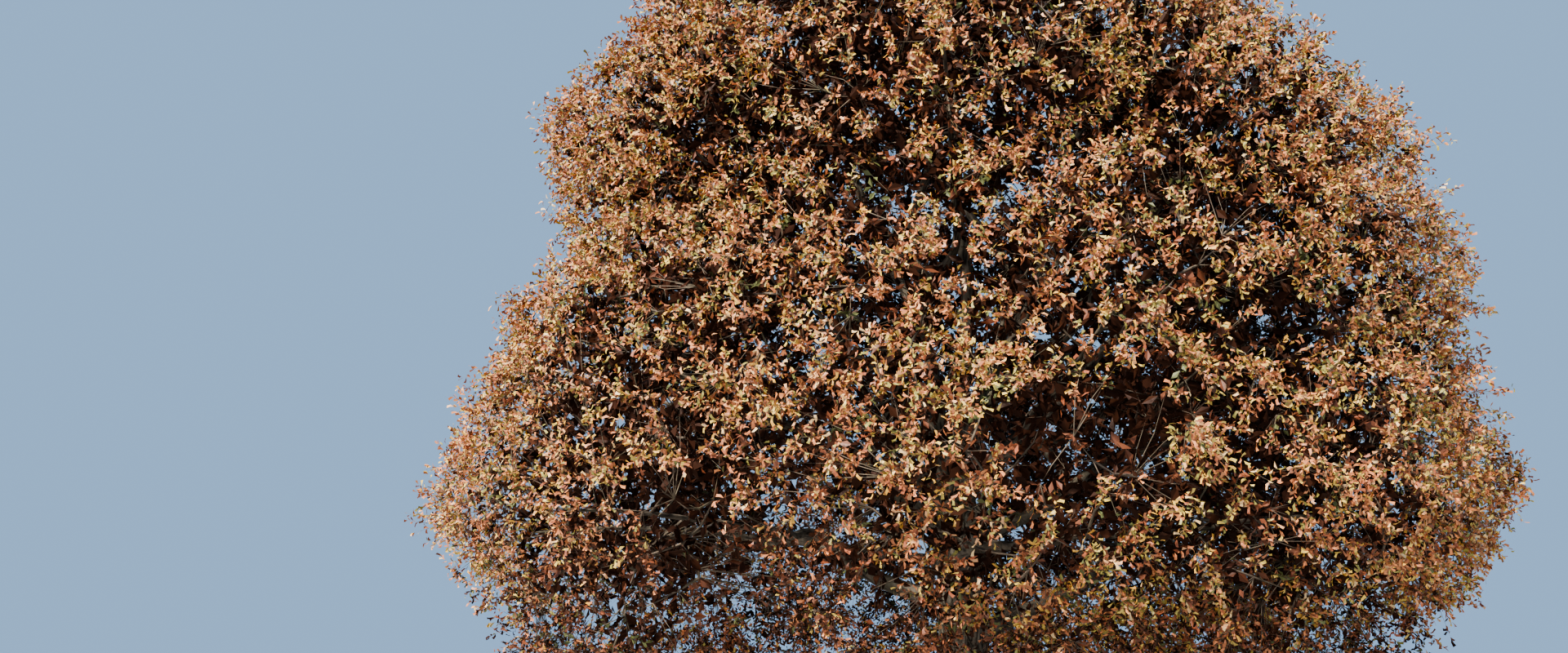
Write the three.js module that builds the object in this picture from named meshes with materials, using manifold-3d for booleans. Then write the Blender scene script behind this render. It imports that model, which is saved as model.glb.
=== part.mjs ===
// An open-grown oak in autumn leaf: one trunk, its main boughs, and the masses of foliage at their ends.
// Millimetres, +Z up. The origin is the centre of the flat cut under the trunk, at ground level.
// The front looks along +Y, with +X to the right. Azimuths turn from +X towards +Y.
import * as THREE from "three";
import { mergeVertices } from "three/addons/utils/BufferGeometryUtils.js";
import Module from "manifold-3d";

const wasm = await Module();
wasm.setup();

// Clearances
const SEAT_GAP = 0.3; // between a limb and what carries it, and between a bough's tip and its stem
const SPACE_MARGIN = 25; // from a mass of foliage to the plane it shares with its neighbour
const LIMB_CLEARANCE = 20; // from a twig or leaf to any limb
const FLATTEN_WITHIN = 2; // a corner of a mass that stands out less than this is left out
const CORNER_GAP = 0.02; // two corners of a mass lie at least this far apart

// Trunk
const TRUNK = {
  forkHeight: 5400,
  baseRadius: 500, // without the root flare
  forkRadius: 330,
  crownHeight: 420, // the rounded top, between the boughs that leave the fork
  flareRadius: 290, // added at ground level
  flareHeight: 520, // the height in which the flare fades to about a third
  rootRidges: 6,
  rootRidgeShare: 0.36, // how much of the flare stands in ridges
  rootRidgePhase: 0.7,
  leanX: 0.042, // sideways run for each unit of height
  leanY: -0.015,
  bend: 90, // the slow S of the bole
  bendWavelength: 6200,
  bendAcross: -0.6, // how much of the bend shows from the side
  crownRound: 0.94, // how far the top closes in
  ringSpacing: 1.35, // above 1, the rings of corners lie closer together in the flare
  sides: 18,
  steps: 12,
};

// The crown in rings of masses, from the skirt up. Even masses of a ring hang on boughs that leave the
// trunk between leaveLow and leaveHigh, and each odd one hangs on a fork of the bough before it.
const RINGS = [
  {
    name: "skirt",
    count: 8,
    height: 4200,
    distance: 7100, // of the masses' centres from the crown's axis
    half: [2950, 2900, 2250], // outward, sideways and upward
    tilt: -0.1, // of the outward axis above the horizon, in radians
    phase: 0.02,
    leaveLow: 2250,
    leaveHigh: 3300,
    baseRadius: 185,
    startRise: 0.42, // radians above the horizon where the bough leaves
    endRise: 0.05, // and where it enters its mass
  },
  {
    name: "middle",
    count: 8,
    height: 7100,
    distance: 6400,
    half: [2750, 2800, 2150],
    tilt: 0.12,
    phase: 0.36,
    leaveLow: 3550,
    leaveHigh: 4400,
    baseRadius: 175,
    startRise: 0.8,
    endRise: 0.38,
  },
  {
    name: "upper",
    count: 7,
    height: 10500,
    distance: 6000,
    half: [2850, 2900, 2250],
    tilt: 0.35,
    phase: 0.1,
    leaveLow: 4500,
    leaveHigh: 5000,
    baseRadius: 160,
    startRise: 1.05,
    endRise: 0.7,
  },
  {
    name: "high",
    count: 5,
    height: 13900,
    distance: 4050,
    half: [2800, 2900, 2400],
    tilt: 0.7,
    phase: 0.5,
    leaveLow: 5050,
    leaveHigh: 5200,
    baseRadius: 150,
    startRise: 1.3,
    endRise: 1.0,
  },
  {
    name: "top",
    count: 1,
    height: 16150,
    distance: 0,
    half: [2050, 2750, 2750],
    tilt: Math.PI / 2,
    phase: 0,
    leaveLow: 5150,
    leaveHigh: 5150,
    baseRadius: 160,
    startRise: 1.5,
    endRise: 1.45,
  },
];

// Boughs
const BOUGH = {
  tipRadius: 62,
  forkBaseRadius: 105, // of a bough that leaves another bough
  collarShare: 0.28, // how much wider a bough is where it leaves
  collarLength: 0.06, // as a share of the bough
  forkAt: 0.4, // where a bough bears the next one, as a share of its length
  forkRise: 0.12, // how much the forking bough turns up at first
  wobble: 0.028, // sideways swing, as a share of the length
  wobbleTurns: 1.6,
  wobbleSkew: 0.8, // turns of the swing over the limb, for each turn of the swing across it
  taperPower: 0.85, // below 1, a bough thins faster near the trunk
  startPull: 0.42, // Bezier handles, as shares of the distance
  endPull: 0.34,
  sides: 6,
  steps: 6,
};

// Foliage. One leaf solid stands for a spray of real leaves.
const FOLIAGE = {
  seedStep: 53, // between the seeds of two masses
  attempts: 12, // seeds tried for a mass
  jitterAngle: 0.09,
  jitterHeight: 260,
  jitterDistance: 200,
  jitterSize: 0.06,
  entry: 0.84, // how far out towards the edge of its space the stem starts
  stemReach: 0.5, // how far past the middle it runs, as a share of the outward half
  stemRadius: [52, 20],
  stemSides: 4,
  stemSteps: 4,
  twigs: 6,
  outmost: 0.95, // the twig tips lie from here on the outward axis of their space
  inmost: -0.5, // to here
  depth: [0.5, 0.66], // how far from the middle to the edge of the space
  twigRadius: [26, 14],
  sink: 60, // how far a leaf's root is sunk in its twig
  leafLength: 2200,
  leafWidth: 0.9, // of its length
  leafThickness: 0.024,
  leafWidest: 0.58, // along its length
  leafSizes: [1, 0.93, 0.86, 0.79, 0.72, 0.65, 0.58, 0.51, 0.44], // tried in turn until one fits
  leafShares: [1, 0.88, 0.76, 0.64], // where along its twig each leaf of a spray sits
  leafLift: [0.25, 0.95], // radians that a leaf is lifted towards the way its spray faces
  leafRoll: 0.45, // and turned about its own length
};
const GOLDEN_ANGLE = Math.PI * (3 - Math.sqrt(5));
const SEED = 20261;

const BARK = new THREE.MeshStandardMaterial({ color: 0x6b6150, roughness: 0.9, metalness: 0 });
const AUTUMN_LEAF = new THREE.MeshStandardMaterial({ color: 0xa8622f, roughness: 0.75, metalness: 0 });

// A small seeded generator, so that every build grows the same tree.
function seeded(seed) {
  let state = seed >>> 0;
  return () => {
    state = (state + 0x6d2b79f5) >>> 0;
    let mixed = Math.imul(state ^ (state >>> 15), 1 | state);
    mixed = (mixed + Math.imul(mixed ^ (mixed >>> 7), 61 | mixed)) ^ mixed;
    return ((mixed ^ (mixed >>> 14)) >>> 0) / 4294967296;
  };
}

const spread = (random, size) => (2 * random() - 1) * size;
const mix = (a, b, share) => a + (b - a) * share;
const outwardAt = (azimuth, rise) =>
  new THREE.Vector3(
    Math.cos(azimuth) * Math.cos(rise),
    Math.sin(azimuth) * Math.cos(rise),
    Math.sin(rise),
  );

// Solids and meshes
function solidOf(geometry) {
  const bare = geometry.clone();
  bare.deleteAttribute("normal");
  bare.deleteAttribute("uv");
  const merged = mergeVertices(bare, 1e-3);
  return new wasm.Manifold(
    new wasm.Mesh({
      numProp: 3,
      vertProperties: new Float32Array(merged.getAttribute("position").array),
      triVerts: new Uint32Array(merged.index.array),
    }),
  );
}

// The largest closed piece of a solid, with loose scraps and sealed hollows left out.
function largestPiece(solid) {
  const pieces = solid.decompose();
  return pieces.reduce((best, piece) => (piece.volume() > best.volume() ? piece : best));
}

function cornersApart(solid) {
  const { vertProperties } = solid.getMesh();
  const places = new Set();
  for (let i = 0; i < vertProperties.length; i += 3) {
    places.add(Array.from(vertProperties.slice(i, i + 3), (v) => Math.round(v / CORNER_GAP)).join());
  }
  return places.size === vertProperties.length / 3;
}

function meshOf(name, solid, material) {
  const { vertProperties, triVerts } = solid.getMesh();
  const geometry = new THREE.BufferGeometry()
    .setAttribute("position", new THREE.BufferAttribute(vertProperties, 3))
    .setIndex(new THREE.BufferAttribute(triVerts, 1));
  geometry.computeVertexNormals();
  const mesh = new THREE.Mesh(geometry, material);
  mesh.name = name;
  return mesh;
}

// A round limb along a curve, with its radius given by a function of the share of the length.
function taperedLimb(curve, radiusAt, sides, steps) {
  const geometry = new THREE.CylinderGeometry(1, 1, 1, sides, steps);
  const frames = curve.computeFrenetFrames(steps);
  const position = geometry.getAttribute("position");
  for (let i = 0; i < position.count; i++) {
    const share = position.getY(i) + 0.5;
    const step = Math.round(share * steps);
    const radius = radiusAt(share);
    const point = curve
      .getPointAt(share)
      .addScaledVector(frames.normals[step], radius * position.getX(i))
      .addScaledVector(frames.binormals[step], -radius * position.getZ(i));
    position.setXYZ(i, point.x, point.y, point.z);
  }
  return geometry;
}

// Trunk
function trunkAxis(height) {
  const swing = TRUNK.bend * Math.sin((2 * Math.PI * height) / TRUNK.bendWavelength);
  return new THREE.Vector3(
    TRUNK.leanX * height + swing,
    TRUNK.leanY * height + TRUNK.bendAcross * swing,
    height,
  );
}

function trunkRadius(height, angle) {
  const shaft = mix(TRUNK.baseRadius, TRUNK.forkRadius, height / TRUNK.forkHeight);
  const ridges = 1 + TRUNK.rootRidgeShare * Math.cos(TRUNK.rootRidges * angle + TRUNK.rootRidgePhase);
  const flare = TRUNK.flareRadius * Math.exp(-height / TRUNK.flareHeight) * ridges;
  const fromTop = Math.max(0, 1 - (TRUNK.forkHeight - height) / TRUNK.crownHeight);
  return (shaft + flare) * Math.sqrt(1 - TRUNK.crownRound * fromTop * fromTop);
}

// The trunk, grown by extra where something is to be kept clear of it.
function trunkSolid(extra) {
  const geometry = new THREE.CylinderGeometry(1, 1, 1, TRUNK.sides, TRUNK.steps);
  const position = geometry.getAttribute("position");
  for (let i = 0; i < position.count; i++) {
    const height = TRUNK.forkHeight * Math.pow(position.getY(i) + 0.5, TRUNK.ringSpacing);
    const across = new THREE.Vector2(position.getZ(i), position.getX(i));
    const angle = across.angle();
    const radius = across.length() * (trunkRadius(height, angle) + extra);
    const axis = trunkAxis(height);
    const raised = height * (1 + extra / TRUNK.forkHeight);
    position.setXYZ(i, axis.x + radius * Math.cos(angle), axis.y + radius * Math.sin(angle), raised);
  }
  return solidOf(geometry);
}

// Masses of foliage: a space for each, an ellipsoid cut by planes halfway to its neighbours
function massSpaces() {
  const random = seeded(SEED);
  return RINGS.flatMap((ring) =>
    Array.from({ length: ring.count }, (_, index) => {
      const turn = (2 * Math.PI * index) / ring.count + ring.phase;
      const azimuth = turn + spread(random, FOLIAGE.jitterAngle);
      const distance = ring.distance && ring.distance + spread(random, FOLIAGE.jitterDistance);
      const height = ring.height + spread(random, FOLIAGE.jitterHeight);
      const size = 1 + spread(random, FOLIAGE.jitterSize);
      const outward = outwardAt(azimuth, ring.tilt);
      const sideways = outwardAt(azimuth + Math.PI / 2, 0);
      const centre = outwardAt(azimuth, 0).multiplyScalar(distance);
      centre.x += TRUNK.leanX * height;
      centre.y += TRUNK.leanY * height;
      centre.z = height;
      return {
        label: `${ring.name}_${index + 1}`,
        ring,
        index,
        azimuth,
        centre,
        axes: [outward, sideways, outward.clone().cross(sideways)],
        half: ring.half.map((length) => length * size),
      };
    }),
  );
}

function meanHalf(mass) {
  return Math.cbrt(mass.half[0] * mass.half[1] * mass.half[2]);
}

// How far out a point lies in a mass's ellipsoid: 0 at the middle and 1 at the edge.
function depthIn(mass, point) {
  const offset = point.clone().sub(mass.centre);
  return Math.hypot(...mass.axes.map((axis, i) => offset.dot(axis) / mass.half[i]));
}

function insideSpace(mass, point, masses) {
  if (depthIn(mass, point) > 1) return false;
  return masses.every((other) => {
    if (other === mass) return true;
    const towards = other.centre.clone().sub(mass.centre);
    const apart = towards.length();
    const limit = (apart * meanHalf(mass)) / (meanHalf(mass) + meanHalf(other)) - SPACE_MARGIN;
    return point.clone().sub(mass.centre).dot(towards) / apart < limit;
  });
}

// Boughs
class BoughCurve extends THREE.Curve {
  constructor(start, startDirection, end, endDirection, phase) {
    super();
    const reach = start.distanceTo(end);
    this.bezier = new THREE.CubicBezierCurve3(
      start,
      start.clone().addScaledVector(startDirection, reach * BOUGH.startPull),
      end.clone().addScaledVector(endDirection, -reach * BOUGH.endPull),
      end,
    );
    const along = end.clone().sub(start).normalize();
    this.across = new THREE.Vector3(-along.y, along.x, 0).normalize();
    this.over = along.clone().cross(this.across);
    this.swing = reach * BOUGH.wobble;
    this.phase = phase;
  }

  getPoint(t, target = new THREE.Vector3()) {
    const fade = Math.sin(Math.PI * t) * this.swing;
    const turn = 2 * Math.PI * BOUGH.wobbleTurns * t + this.phase;
    return target
      .copy(this.bezier.getPoint(t))
      .addScaledVector(this.across, fade * Math.sin(turn))
      .addScaledVector(this.over, fade * Math.cos(turn * BOUGH.wobbleSkew));
  }
}

function boughRadius(baseRadius, share) {
  const collar = 1 + BOUGH.collarShare * Math.exp(-share / BOUGH.collarLength);
  return mix(baseRadius, BOUGH.tipRadius, Math.pow(share, BOUGH.taperPower)) * collar;
}

// The bough that carries a mass. Even ones leave the trunk, and odd ones leave the bough before.
function boughFor(mass, carrier) {
  const { ring, index, azimuth } = mass;
  const endDirection = outwardAt(azimuth, ring.endRise);
  const inward = endDirection.clone().negate();
  const edge = 1 / Math.hypot(...mass.axes.map((axis, i) => inward.dot(axis) / mass.half[i]));
  const end = mass.centre.clone().addScaledVector(inward, edge * FOLIAGE.entry);
  const phase = index * GOLDEN_ANGLE;
  if (carrier) {
    const start = carrier.curve.getPointAt(BOUGH.forkAt);
    const startDirection = carrier.curve.getTangentAt(BOUGH.forkAt);
    const sideways = end.clone().sub(start).normalize();
    startDirection.add(sideways).normalize();
    startDirection.z += BOUGH.forkRise;
    startDirection.normalize();
    return {
      mass,
      curve: new BoughCurve(start, startDirection, end, endDirection, phase),
      baseRadius: BOUGH.forkBaseRadius,
    };
  }
  const share = ring.count > 1 ? index / (ring.count - 1) : 0;
  const start = trunkAxis(mix(ring.leaveLow, ring.leaveHigh, share));
  return {
    mass,
    curve: new BoughCurve(start, outwardAt(azimuth, ring.startRise), end, endDirection, phase),
    baseRadius: ring.baseRadius,
  };
}

function boughSolid(bough, extra) {
  const radiusAt = (share) => boughRadius(bough.baseRadius, share) + extra;
  return solidOf(taperedLimb(bough.curve, radiusAt, BOUGH.sides, BOUGH.steps));
}

const boxesMeet = (a, b) => {
  const first = a.boundingBox();
  const second = b.boundingBox();
  return [0, 1, 2].every((i) => first.min[i] <= second.max[i] && second.min[i] <= first.max[i]);
};

// Each bough is cut clear of the trunk and of the boughs made before it.
function makeBoughs(masses) {
  const boughs = [];
  const carriers = [trunkSolid(SEAT_GAP)];
  for (const mass of masses) {
    const bough = boughFor(mass, mass.index % 2 ? boughs.at(-1) : null);
    let solid = boughSolid(bough, 0);
    for (const carrier of carriers) {
      if (boxesMeet(solid, carrier)) solid = solid.subtract(carrier);
    }
    bough.solid = largestPiece(solid);
    carriers.push(boughSolid(bough, SEAT_GAP));
    boughs.push(bough);
  }
  return boughs;
}

// Twigs and leaves
function twigSolid(from, to, radii) {
  const line = new THREE.LineCurve3(from, to);
  const geometry = taperedLimb(line, (share) => mix(radii[0], radii[1], share), 3, 1);
  return solidOf(geometry);
}

// A leaf of six faces: its root and tip, its two side corners, and a ridge raised between them.
function leafSolid(root, along, face, length) {
  const geometry = new THREE.SphereGeometry(1, 3, 2);
  const side = along.clone().cross(face).normalize();
  const raised = side.clone().cross(along);
  const position = geometry.getAttribute("position");
  const corners = [];
  for (let i = 0; i < position.count; i++) {
    const end = position.getY(i);
    const atEnd = Math.abs(end) > 0.5;
    const atRidge = !atEnd && position.getX(i) < 0;
    const share = atEnd ? (end + 1) / 2 : FOLIAGE.leafWidest;
    const aside = atEnd || atRidge ? 0 : (Math.sign(position.getZ(i)) * FOLIAGE.leafWidth) / 2;
    const corner = root
      .clone()
      .addScaledVector(along, length * share)
      .addScaledVector(side, length * aside)
      .addScaledVector(raised, atRidge ? length * FOLIAGE.leafThickness : 0);
    position.setXYZ(i, corner.x, corner.y, corner.z);
    corners.push(corner);
  }
  return { solid: solidOf(geometry), corners };
}

// The places of a mass's twig tips: a spiral round its outward axis, nearest to the stem's foot first.
function twigTips(mass, foot, random) {
  const tips = Array.from({ length: FOLIAGE.twigs }, (_, i) => {
    const outward = mix(FOLIAGE.outmost, FOLIAGE.inmost, i / (FOLIAGE.twigs - 1));
    const level = Math.sqrt(1 - outward * outward);
    const turn = i * GOLDEN_ANGLE + mass.index;
    const shares = [outward, level * Math.cos(turn), level * Math.sin(turn)];
    const depth = mix(FOLIAGE.depth[0], FOLIAGE.depth[1], random());
    return mass.axes.reduce(
      (point, axis, k) => point.addScaledVector(axis, mass.half[k] * shares[k] * depth),
      mass.centre.clone(),
    );
  });
  return tips.sort((a, b) => a.distanceTo(foot) - b.distanceTo(foot));
}

// The stem that carries a mass on from its bough's tip, and the points along it where twigs can start.
function makeStem(mass, curve) {
  const heading = curve.getTangentAt(1);
  const foot = curve.getPointAt(1).addScaledVector(heading, SEAT_GAP);
  const end = mass.centre.clone().addScaledVector(mass.axes[0], mass.half[0] * FOLIAGE.stemReach);
  const pull = foot.distanceTo(end) / 3;
  const line = new THREE.CubicBezierCurve3(
    foot,
    foot.clone().addScaledVector(heading, pull),
    end.clone().addScaledVector(mass.axes[0], -pull),
    end,
  );
  const radiusAt = (share) => mix(FOLIAGE.stemRadius[0], FOLIAGE.stemRadius[1], share);
  const steps = FOLIAGE.stemSteps;
  const nodes = Array.from({ length: steps }, (_, i) => line.getPointAt((i + 1) / steps));
  return { foot, nodes, solid: solidOf(taperedLimb(line, radiusAt, FOLIAGE.stemSides, steps)) };
}

const clearOf = (solid, others) =>
  others.every((other) => !boxesMeet(solid, other) || solid.intersect(other).isEmpty());

// The ways in which a spray's leaves point, and the ways their faces look: set round in turn, each
// lifted towards the way the spray faces.
function leafDirections(facing, random) {
  const level = facing.clone().cross(outwardAt(0, Math.PI / 2)).normalize();
  const phase = 2 * Math.PI * random();
  return FOLIAGE.leafShares.map((share, place) => {
    const turn = phase + (2 * Math.PI * place) / FOLIAGE.leafShares.length;
    const aside = level.clone().applyAxisAngle(facing, turn);
    const lift = mix(FOLIAGE.leafLift[0], FOLIAGE.leafLift[1], random());
    const along = aside.clone().multiplyScalar(Math.cos(lift)).addScaledVector(facing, Math.sin(lift));
    const face = facing.clone().multiplyScalar(Math.cos(lift)).addScaledVector(aside, -Math.sin(lift));
    face.applyAxisAngle(along, spread(random, FOLIAGE.leafRoll));
    return { share, along, face };
  });
}

// A mass grows from its stem. Each twig starts at the nearest point grown so far. A twig or leaf that
// would leave the space or touch a limb is skipped, and a leaf that would touch another one is made
// smaller, or skipped too.
function growMass(bough, masses, limbs, random) {
  const { mass } = bough;
  const { foot, nodes, solid: stem } = makeStem(mass, bough.curve);
  const fits = (points) => points.every((point) => insideSpace(mass, point, masses));
  const twigs = [];
  const leaves = [];
  for (const tip of twigTips(mass, foot, random)) {
    const start = nodes.reduce((best, node) =>
      node.distanceTo(tip) < best.distanceTo(tip) ? node : best,
    );
    const twig = twigSolid(start, tip, FOLIAGE.twigRadius);
    if (!fits([tip]) || !clearOf(twig, limbs) || !clearOf(twig, leaves)) continue;
    const growth = tip.clone().sub(start).normalize();
    const facing = tip.clone().sub(mass.centre).normalize().add(growth).normalize();
    const before = leaves.length;
    for (const { share, along, face } of leafDirections(facing, random)) {
      const root = start.clone().lerp(tip, share).addScaledVector(growth, -FOLIAGE.sink);
      for (const size of FOLIAGE.leafSizes) {
        const { solid: leaf, corners } = leafSolid(root, along, face, FOLIAGE.leafLength * size);
        if (!fits(corners) || !clearOf(leaf, limbs) || !clearOf(leaf, leaves)) continue;
        leaves.push(leaf);
        break;
      }
    }
    if (leaves.length === before) continue;
    twigs.push(twig);
    nodes.push(tip, start.clone().lerp(tip, 0.5));
  }
  const grown = wasm.Manifold.union([stem, ...twigs, ...leaves]).asOriginal();
  return largestPiece(grown.simplify(FLATTEN_WITHIN));
}

// The mass that grows from the first seed that leaves no two of its corners in one place.
function makeMass(bough, masses, limbs) {
  const firstSeed = SEED + FOLIAGE.seedStep * masses.indexOf(bough.mass);
  for (let attempt = 0; attempt < FOLIAGE.attempts; attempt++) {
    const solid = growMass(bough, masses, limbs, seeded(firstSeed + attempt));
    if (cornersApart(solid)) return solid;
  }
  throw new Error(`${bough.mass.label} has corners in one place from every seed`);
}

// Assembly
const masses = massSpaces();
const boughs = makeBoughs(masses);
const limbs = [trunkSolid(LIMB_CLEARANCE), ...boughs.map((bough) => boughSolid(bough, LIMB_CLEARANCE))];

const oak = new THREE.Group();
oak.add(meshOf("trunk", trunkSolid(0), BARK));
for (const bough of boughs) {
  oak.add(meshOf(`bough_${bough.mass.label}`, bough.solid, BARK));
  oak.add(meshOf(`foliage_${bough.mass.label}`, makeMass(bough, masses, limbs), AUTUMN_LEAF));
}

export default oak;
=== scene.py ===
"""An open-grown oak in autumn leaf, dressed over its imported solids.

Metres, +Z up, with the origin at the centre of the flat cut under the trunk. The crown grows by the
same rule as the solids do: rings of masses, a bough to each, a stem on from each bough's tip, and
twigs that start at the nearest point grown so far, here carried on to shoots and single leaves.
"""

import logging
import math
from collections.abc import Callable, Sequence
from dataclasses import dataclass, field
from enum import Enum

import bpy
import numpy as np
from numpy.typing import NDArray
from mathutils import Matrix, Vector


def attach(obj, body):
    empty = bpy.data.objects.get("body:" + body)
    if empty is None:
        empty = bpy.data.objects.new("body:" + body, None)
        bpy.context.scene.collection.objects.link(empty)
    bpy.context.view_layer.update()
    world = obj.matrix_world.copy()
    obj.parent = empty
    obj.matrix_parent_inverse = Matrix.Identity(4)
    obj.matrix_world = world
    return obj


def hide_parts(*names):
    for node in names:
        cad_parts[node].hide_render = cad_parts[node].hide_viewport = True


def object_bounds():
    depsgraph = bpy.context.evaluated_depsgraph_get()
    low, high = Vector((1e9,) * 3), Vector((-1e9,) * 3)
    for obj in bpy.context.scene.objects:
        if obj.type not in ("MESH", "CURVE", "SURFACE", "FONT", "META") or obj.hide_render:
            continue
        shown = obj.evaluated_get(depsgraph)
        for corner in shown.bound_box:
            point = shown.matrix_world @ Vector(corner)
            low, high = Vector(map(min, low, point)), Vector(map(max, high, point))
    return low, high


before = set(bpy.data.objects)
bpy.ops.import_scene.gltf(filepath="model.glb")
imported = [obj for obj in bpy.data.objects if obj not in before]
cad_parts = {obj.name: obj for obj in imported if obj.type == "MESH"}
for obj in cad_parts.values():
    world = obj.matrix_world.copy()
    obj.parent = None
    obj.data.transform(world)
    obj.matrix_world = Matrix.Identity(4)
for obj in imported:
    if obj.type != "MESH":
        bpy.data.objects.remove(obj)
CAD_BOX = [[float(value) for value in corner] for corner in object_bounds()]

Points = NDArray[np.float64]
Whole = NDArray[np.int64]
Flags = NDArray[np.bool_]
Amount = float | Points
Pair = tuple[float, float]
Triple = tuple[float, float, float]
Shape = Callable[[Points], Points]

LOG = logging.getLogger("oak")
BODY = "root"
SEED = 20261
LUMP_SEED, BARK_SEED, PATCH_SEED, OPENING_SEED = SEED + 3, SEED + 5, SEED + 11, SEED + 12
MASS_SEED_STEP, TINT_SEED_STEP = 97, 7
UP = np.array([0.0, 0.0, 1.0])
UNUSED_WAY = UP + np.array([0.1, 0.2, 0.0])  # a direction in which no limb starts
GOLDEN_ANGLE = math.pi * (3 - math.sqrt(5))
LEAST_LENGTH = 1e-12  # keeps a vector of no length from a division by zero


def mix(low: Amount, high: Amount, share: Amount) -> Amount:
    """Go from low to high by a share."""
    return low + (high - low) * share


def unit(vectors: Points) -> Points:
    """Bring each vector to a length of one."""
    return vectors / np.maximum(np.linalg.norm(vectors, axis=-1, keepdims=True), LEAST_LENGTH)


def outward_at(azimuth: float, rise: float) -> Points:
    """Give the direction at an azimuth, from +X towards +Y, and a rise above the horizon."""
    level = math.cos(rise)
    return np.array([math.cos(azimuth) * level, math.sin(azimuth) * level, math.sin(rise)])


def square_to(vectors: Points, axes: Points) -> Points:
    """Take from each vector its part along an axis, and bring the rest to a length of one."""
    along = (vectors * axes).sum(-1, keepdims=True)
    return unit(vectors - along * axes)


def nearest(points: Points, nodes: Points) -> tuple[Points, Points]:
    """Give the node nearest to each point, and how far away it lies."""
    gaps = np.linalg.norm(points[:, None, :] - nodes[None, :, :], axis=-1)
    return nodes[gaps.argmin(axis=1)], gaps.min(axis=1)


def full_turn(count: int) -> Points:
    """Give angles spread evenly round a full turn."""
    return np.linspace(0, 2 * np.pi, count, endpoint=False)


def link(name: str, data: bpy.types.ID) -> bpy.types.Object:
    """Make an object of a mesh, a light or a camera, and link it to the scene.

    Args:
        name: The object's name.
        data: What it shows.

    Returns:
        The object.
    """
    made = bpy.data.objects.new(name, data)
    bpy.context.scene.collection.objects.link(made)
    return made


class SeededDraw:
    """The small generator that the solids are grown from, so the masses fall in the same places."""

    STRIDE = 0x6D2B79F5
    WORD = 0xFFFFFFFF  # keeps a whole number within 32 bits

    def __init__(self, seed: int) -> None:
        """Start from a seed."""
        self.state = seed & self.WORD

    def draw(self) -> float:
        """Draw a number from 0 up to 1.

        Returns:
            The number.
        """
        self.state = (self.state + self.STRIDE) & self.WORD
        mixed = ((self.state ^ (self.state >> 15)) * (1 | self.state)) & self.WORD
        turned = (mixed + (((mixed ^ (mixed >> 7)) * (61 | mixed)) & self.WORD)) & self.WORD
        mixed ^= turned
        return (mixed ^ (mixed >> 14)) / (self.WORD + 1)

    def spread(self, size: float) -> float:
        """Draw a number from -size to size."""
        return (2 * self.draw() - 1) * size


class Grain:
    """Smooth seeded noise in space, from slopes on a lattice."""

    CELLS = 256  # after which the lattice repeats

    def __init__(self, seed: int) -> None:
        """Deal out the lattice's slopes from a seed.

        Args:
            seed: The seed.
        """
        rng = np.random.default_rng(seed)
        self.order = rng.permutation(self.CELLS)
        self.slopes = unit(rng.normal(size=(self.CELLS, 3)))

    def at(self, points: Points) -> Points:
        """Read the noise.

        Args:
            points: Places, one to a row, a lattice cell being one unit wide.

        Returns:
            A value from about -0.8 to 0.8 for each place.
        """
        cell = np.floor(points).astype(int)
        local = points - cell
        fade = local**3 * (local * (local * 6 - 15) + 10)
        total = np.zeros(len(points))
        for corner in np.ndindex(2, 2, 2):
            offset = np.array(corner)
            key = 0
            for row in (cell + offset).T:
                key = self.order[(key + row) % self.CELLS]
            weight = np.where(offset, fade, 1 - fade).prod(axis=1)
            total += weight * ((local - offset) * self.slopes[key]).sum(axis=1)
        return total


class Line:
    """A curve in space that is walked by the share of its length."""

    STEPS = 200
    NUDGE = 1e-4  # how far apart the points lie that give a direction, as a share of the curve

    def __init__(self, shape: Shape) -> None:
        """Measure the curve.

        Args:
            shape: Gives a point for each parameter from 0 to 1.
        """
        self.shape = shape
        self.parameters = np.linspace(0, 1, self.STEPS + 1)
        steps = np.linalg.norm(np.diff(shape(self.parameters), axis=0), axis=1)
        self.reached = np.concatenate([[0.0], np.cumsum(steps)])
        self.length = float(self.reached[-1])

    def parameter(self, shares: Points | Sequence[float]) -> Points:
        """Turn shares of the length into parameters of the curve."""
        return np.interp(np.asarray(shares) * self.length, self.reached, self.parameters)

    def places(self, shares: Points | Sequence[float]) -> Points:
        """Give the points at shares of the length."""
        return self.shape(self.parameter(shares))

    def heading(self, share: float) -> Points:
        """Give the direction of the curve at a share of its length.

        Args:
            share: The share, from 0 to 1.

        Returns:
            The direction, with a length of one.
        """
        here = float(self.parameter([share])[0])
        back, on = self.shape(np.clip([here - self.NUDGE, here + self.NUDGE], 0, 1))
        return unit(on - back)


def bezier(*handles: Points) -> Shape:
    """Make a cubic curve through its first and last handle.

    Args:
        *handles: Its four handles.

    Returns:
        The curve.
    """
    a, b, c, d = handles

    def shape(parameters: Points) -> Points:
        """Give the curve's points.

        Args:
            parameters: Numbers from 0 to 1.

        Returns:
            A point for each.
        """
        t = parameters[:, None]
        s = 1 - t
        return s**3 * a + 3 * s * s * t * b + 3 * s * t * t * c + t**3 * d

    return shape


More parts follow.
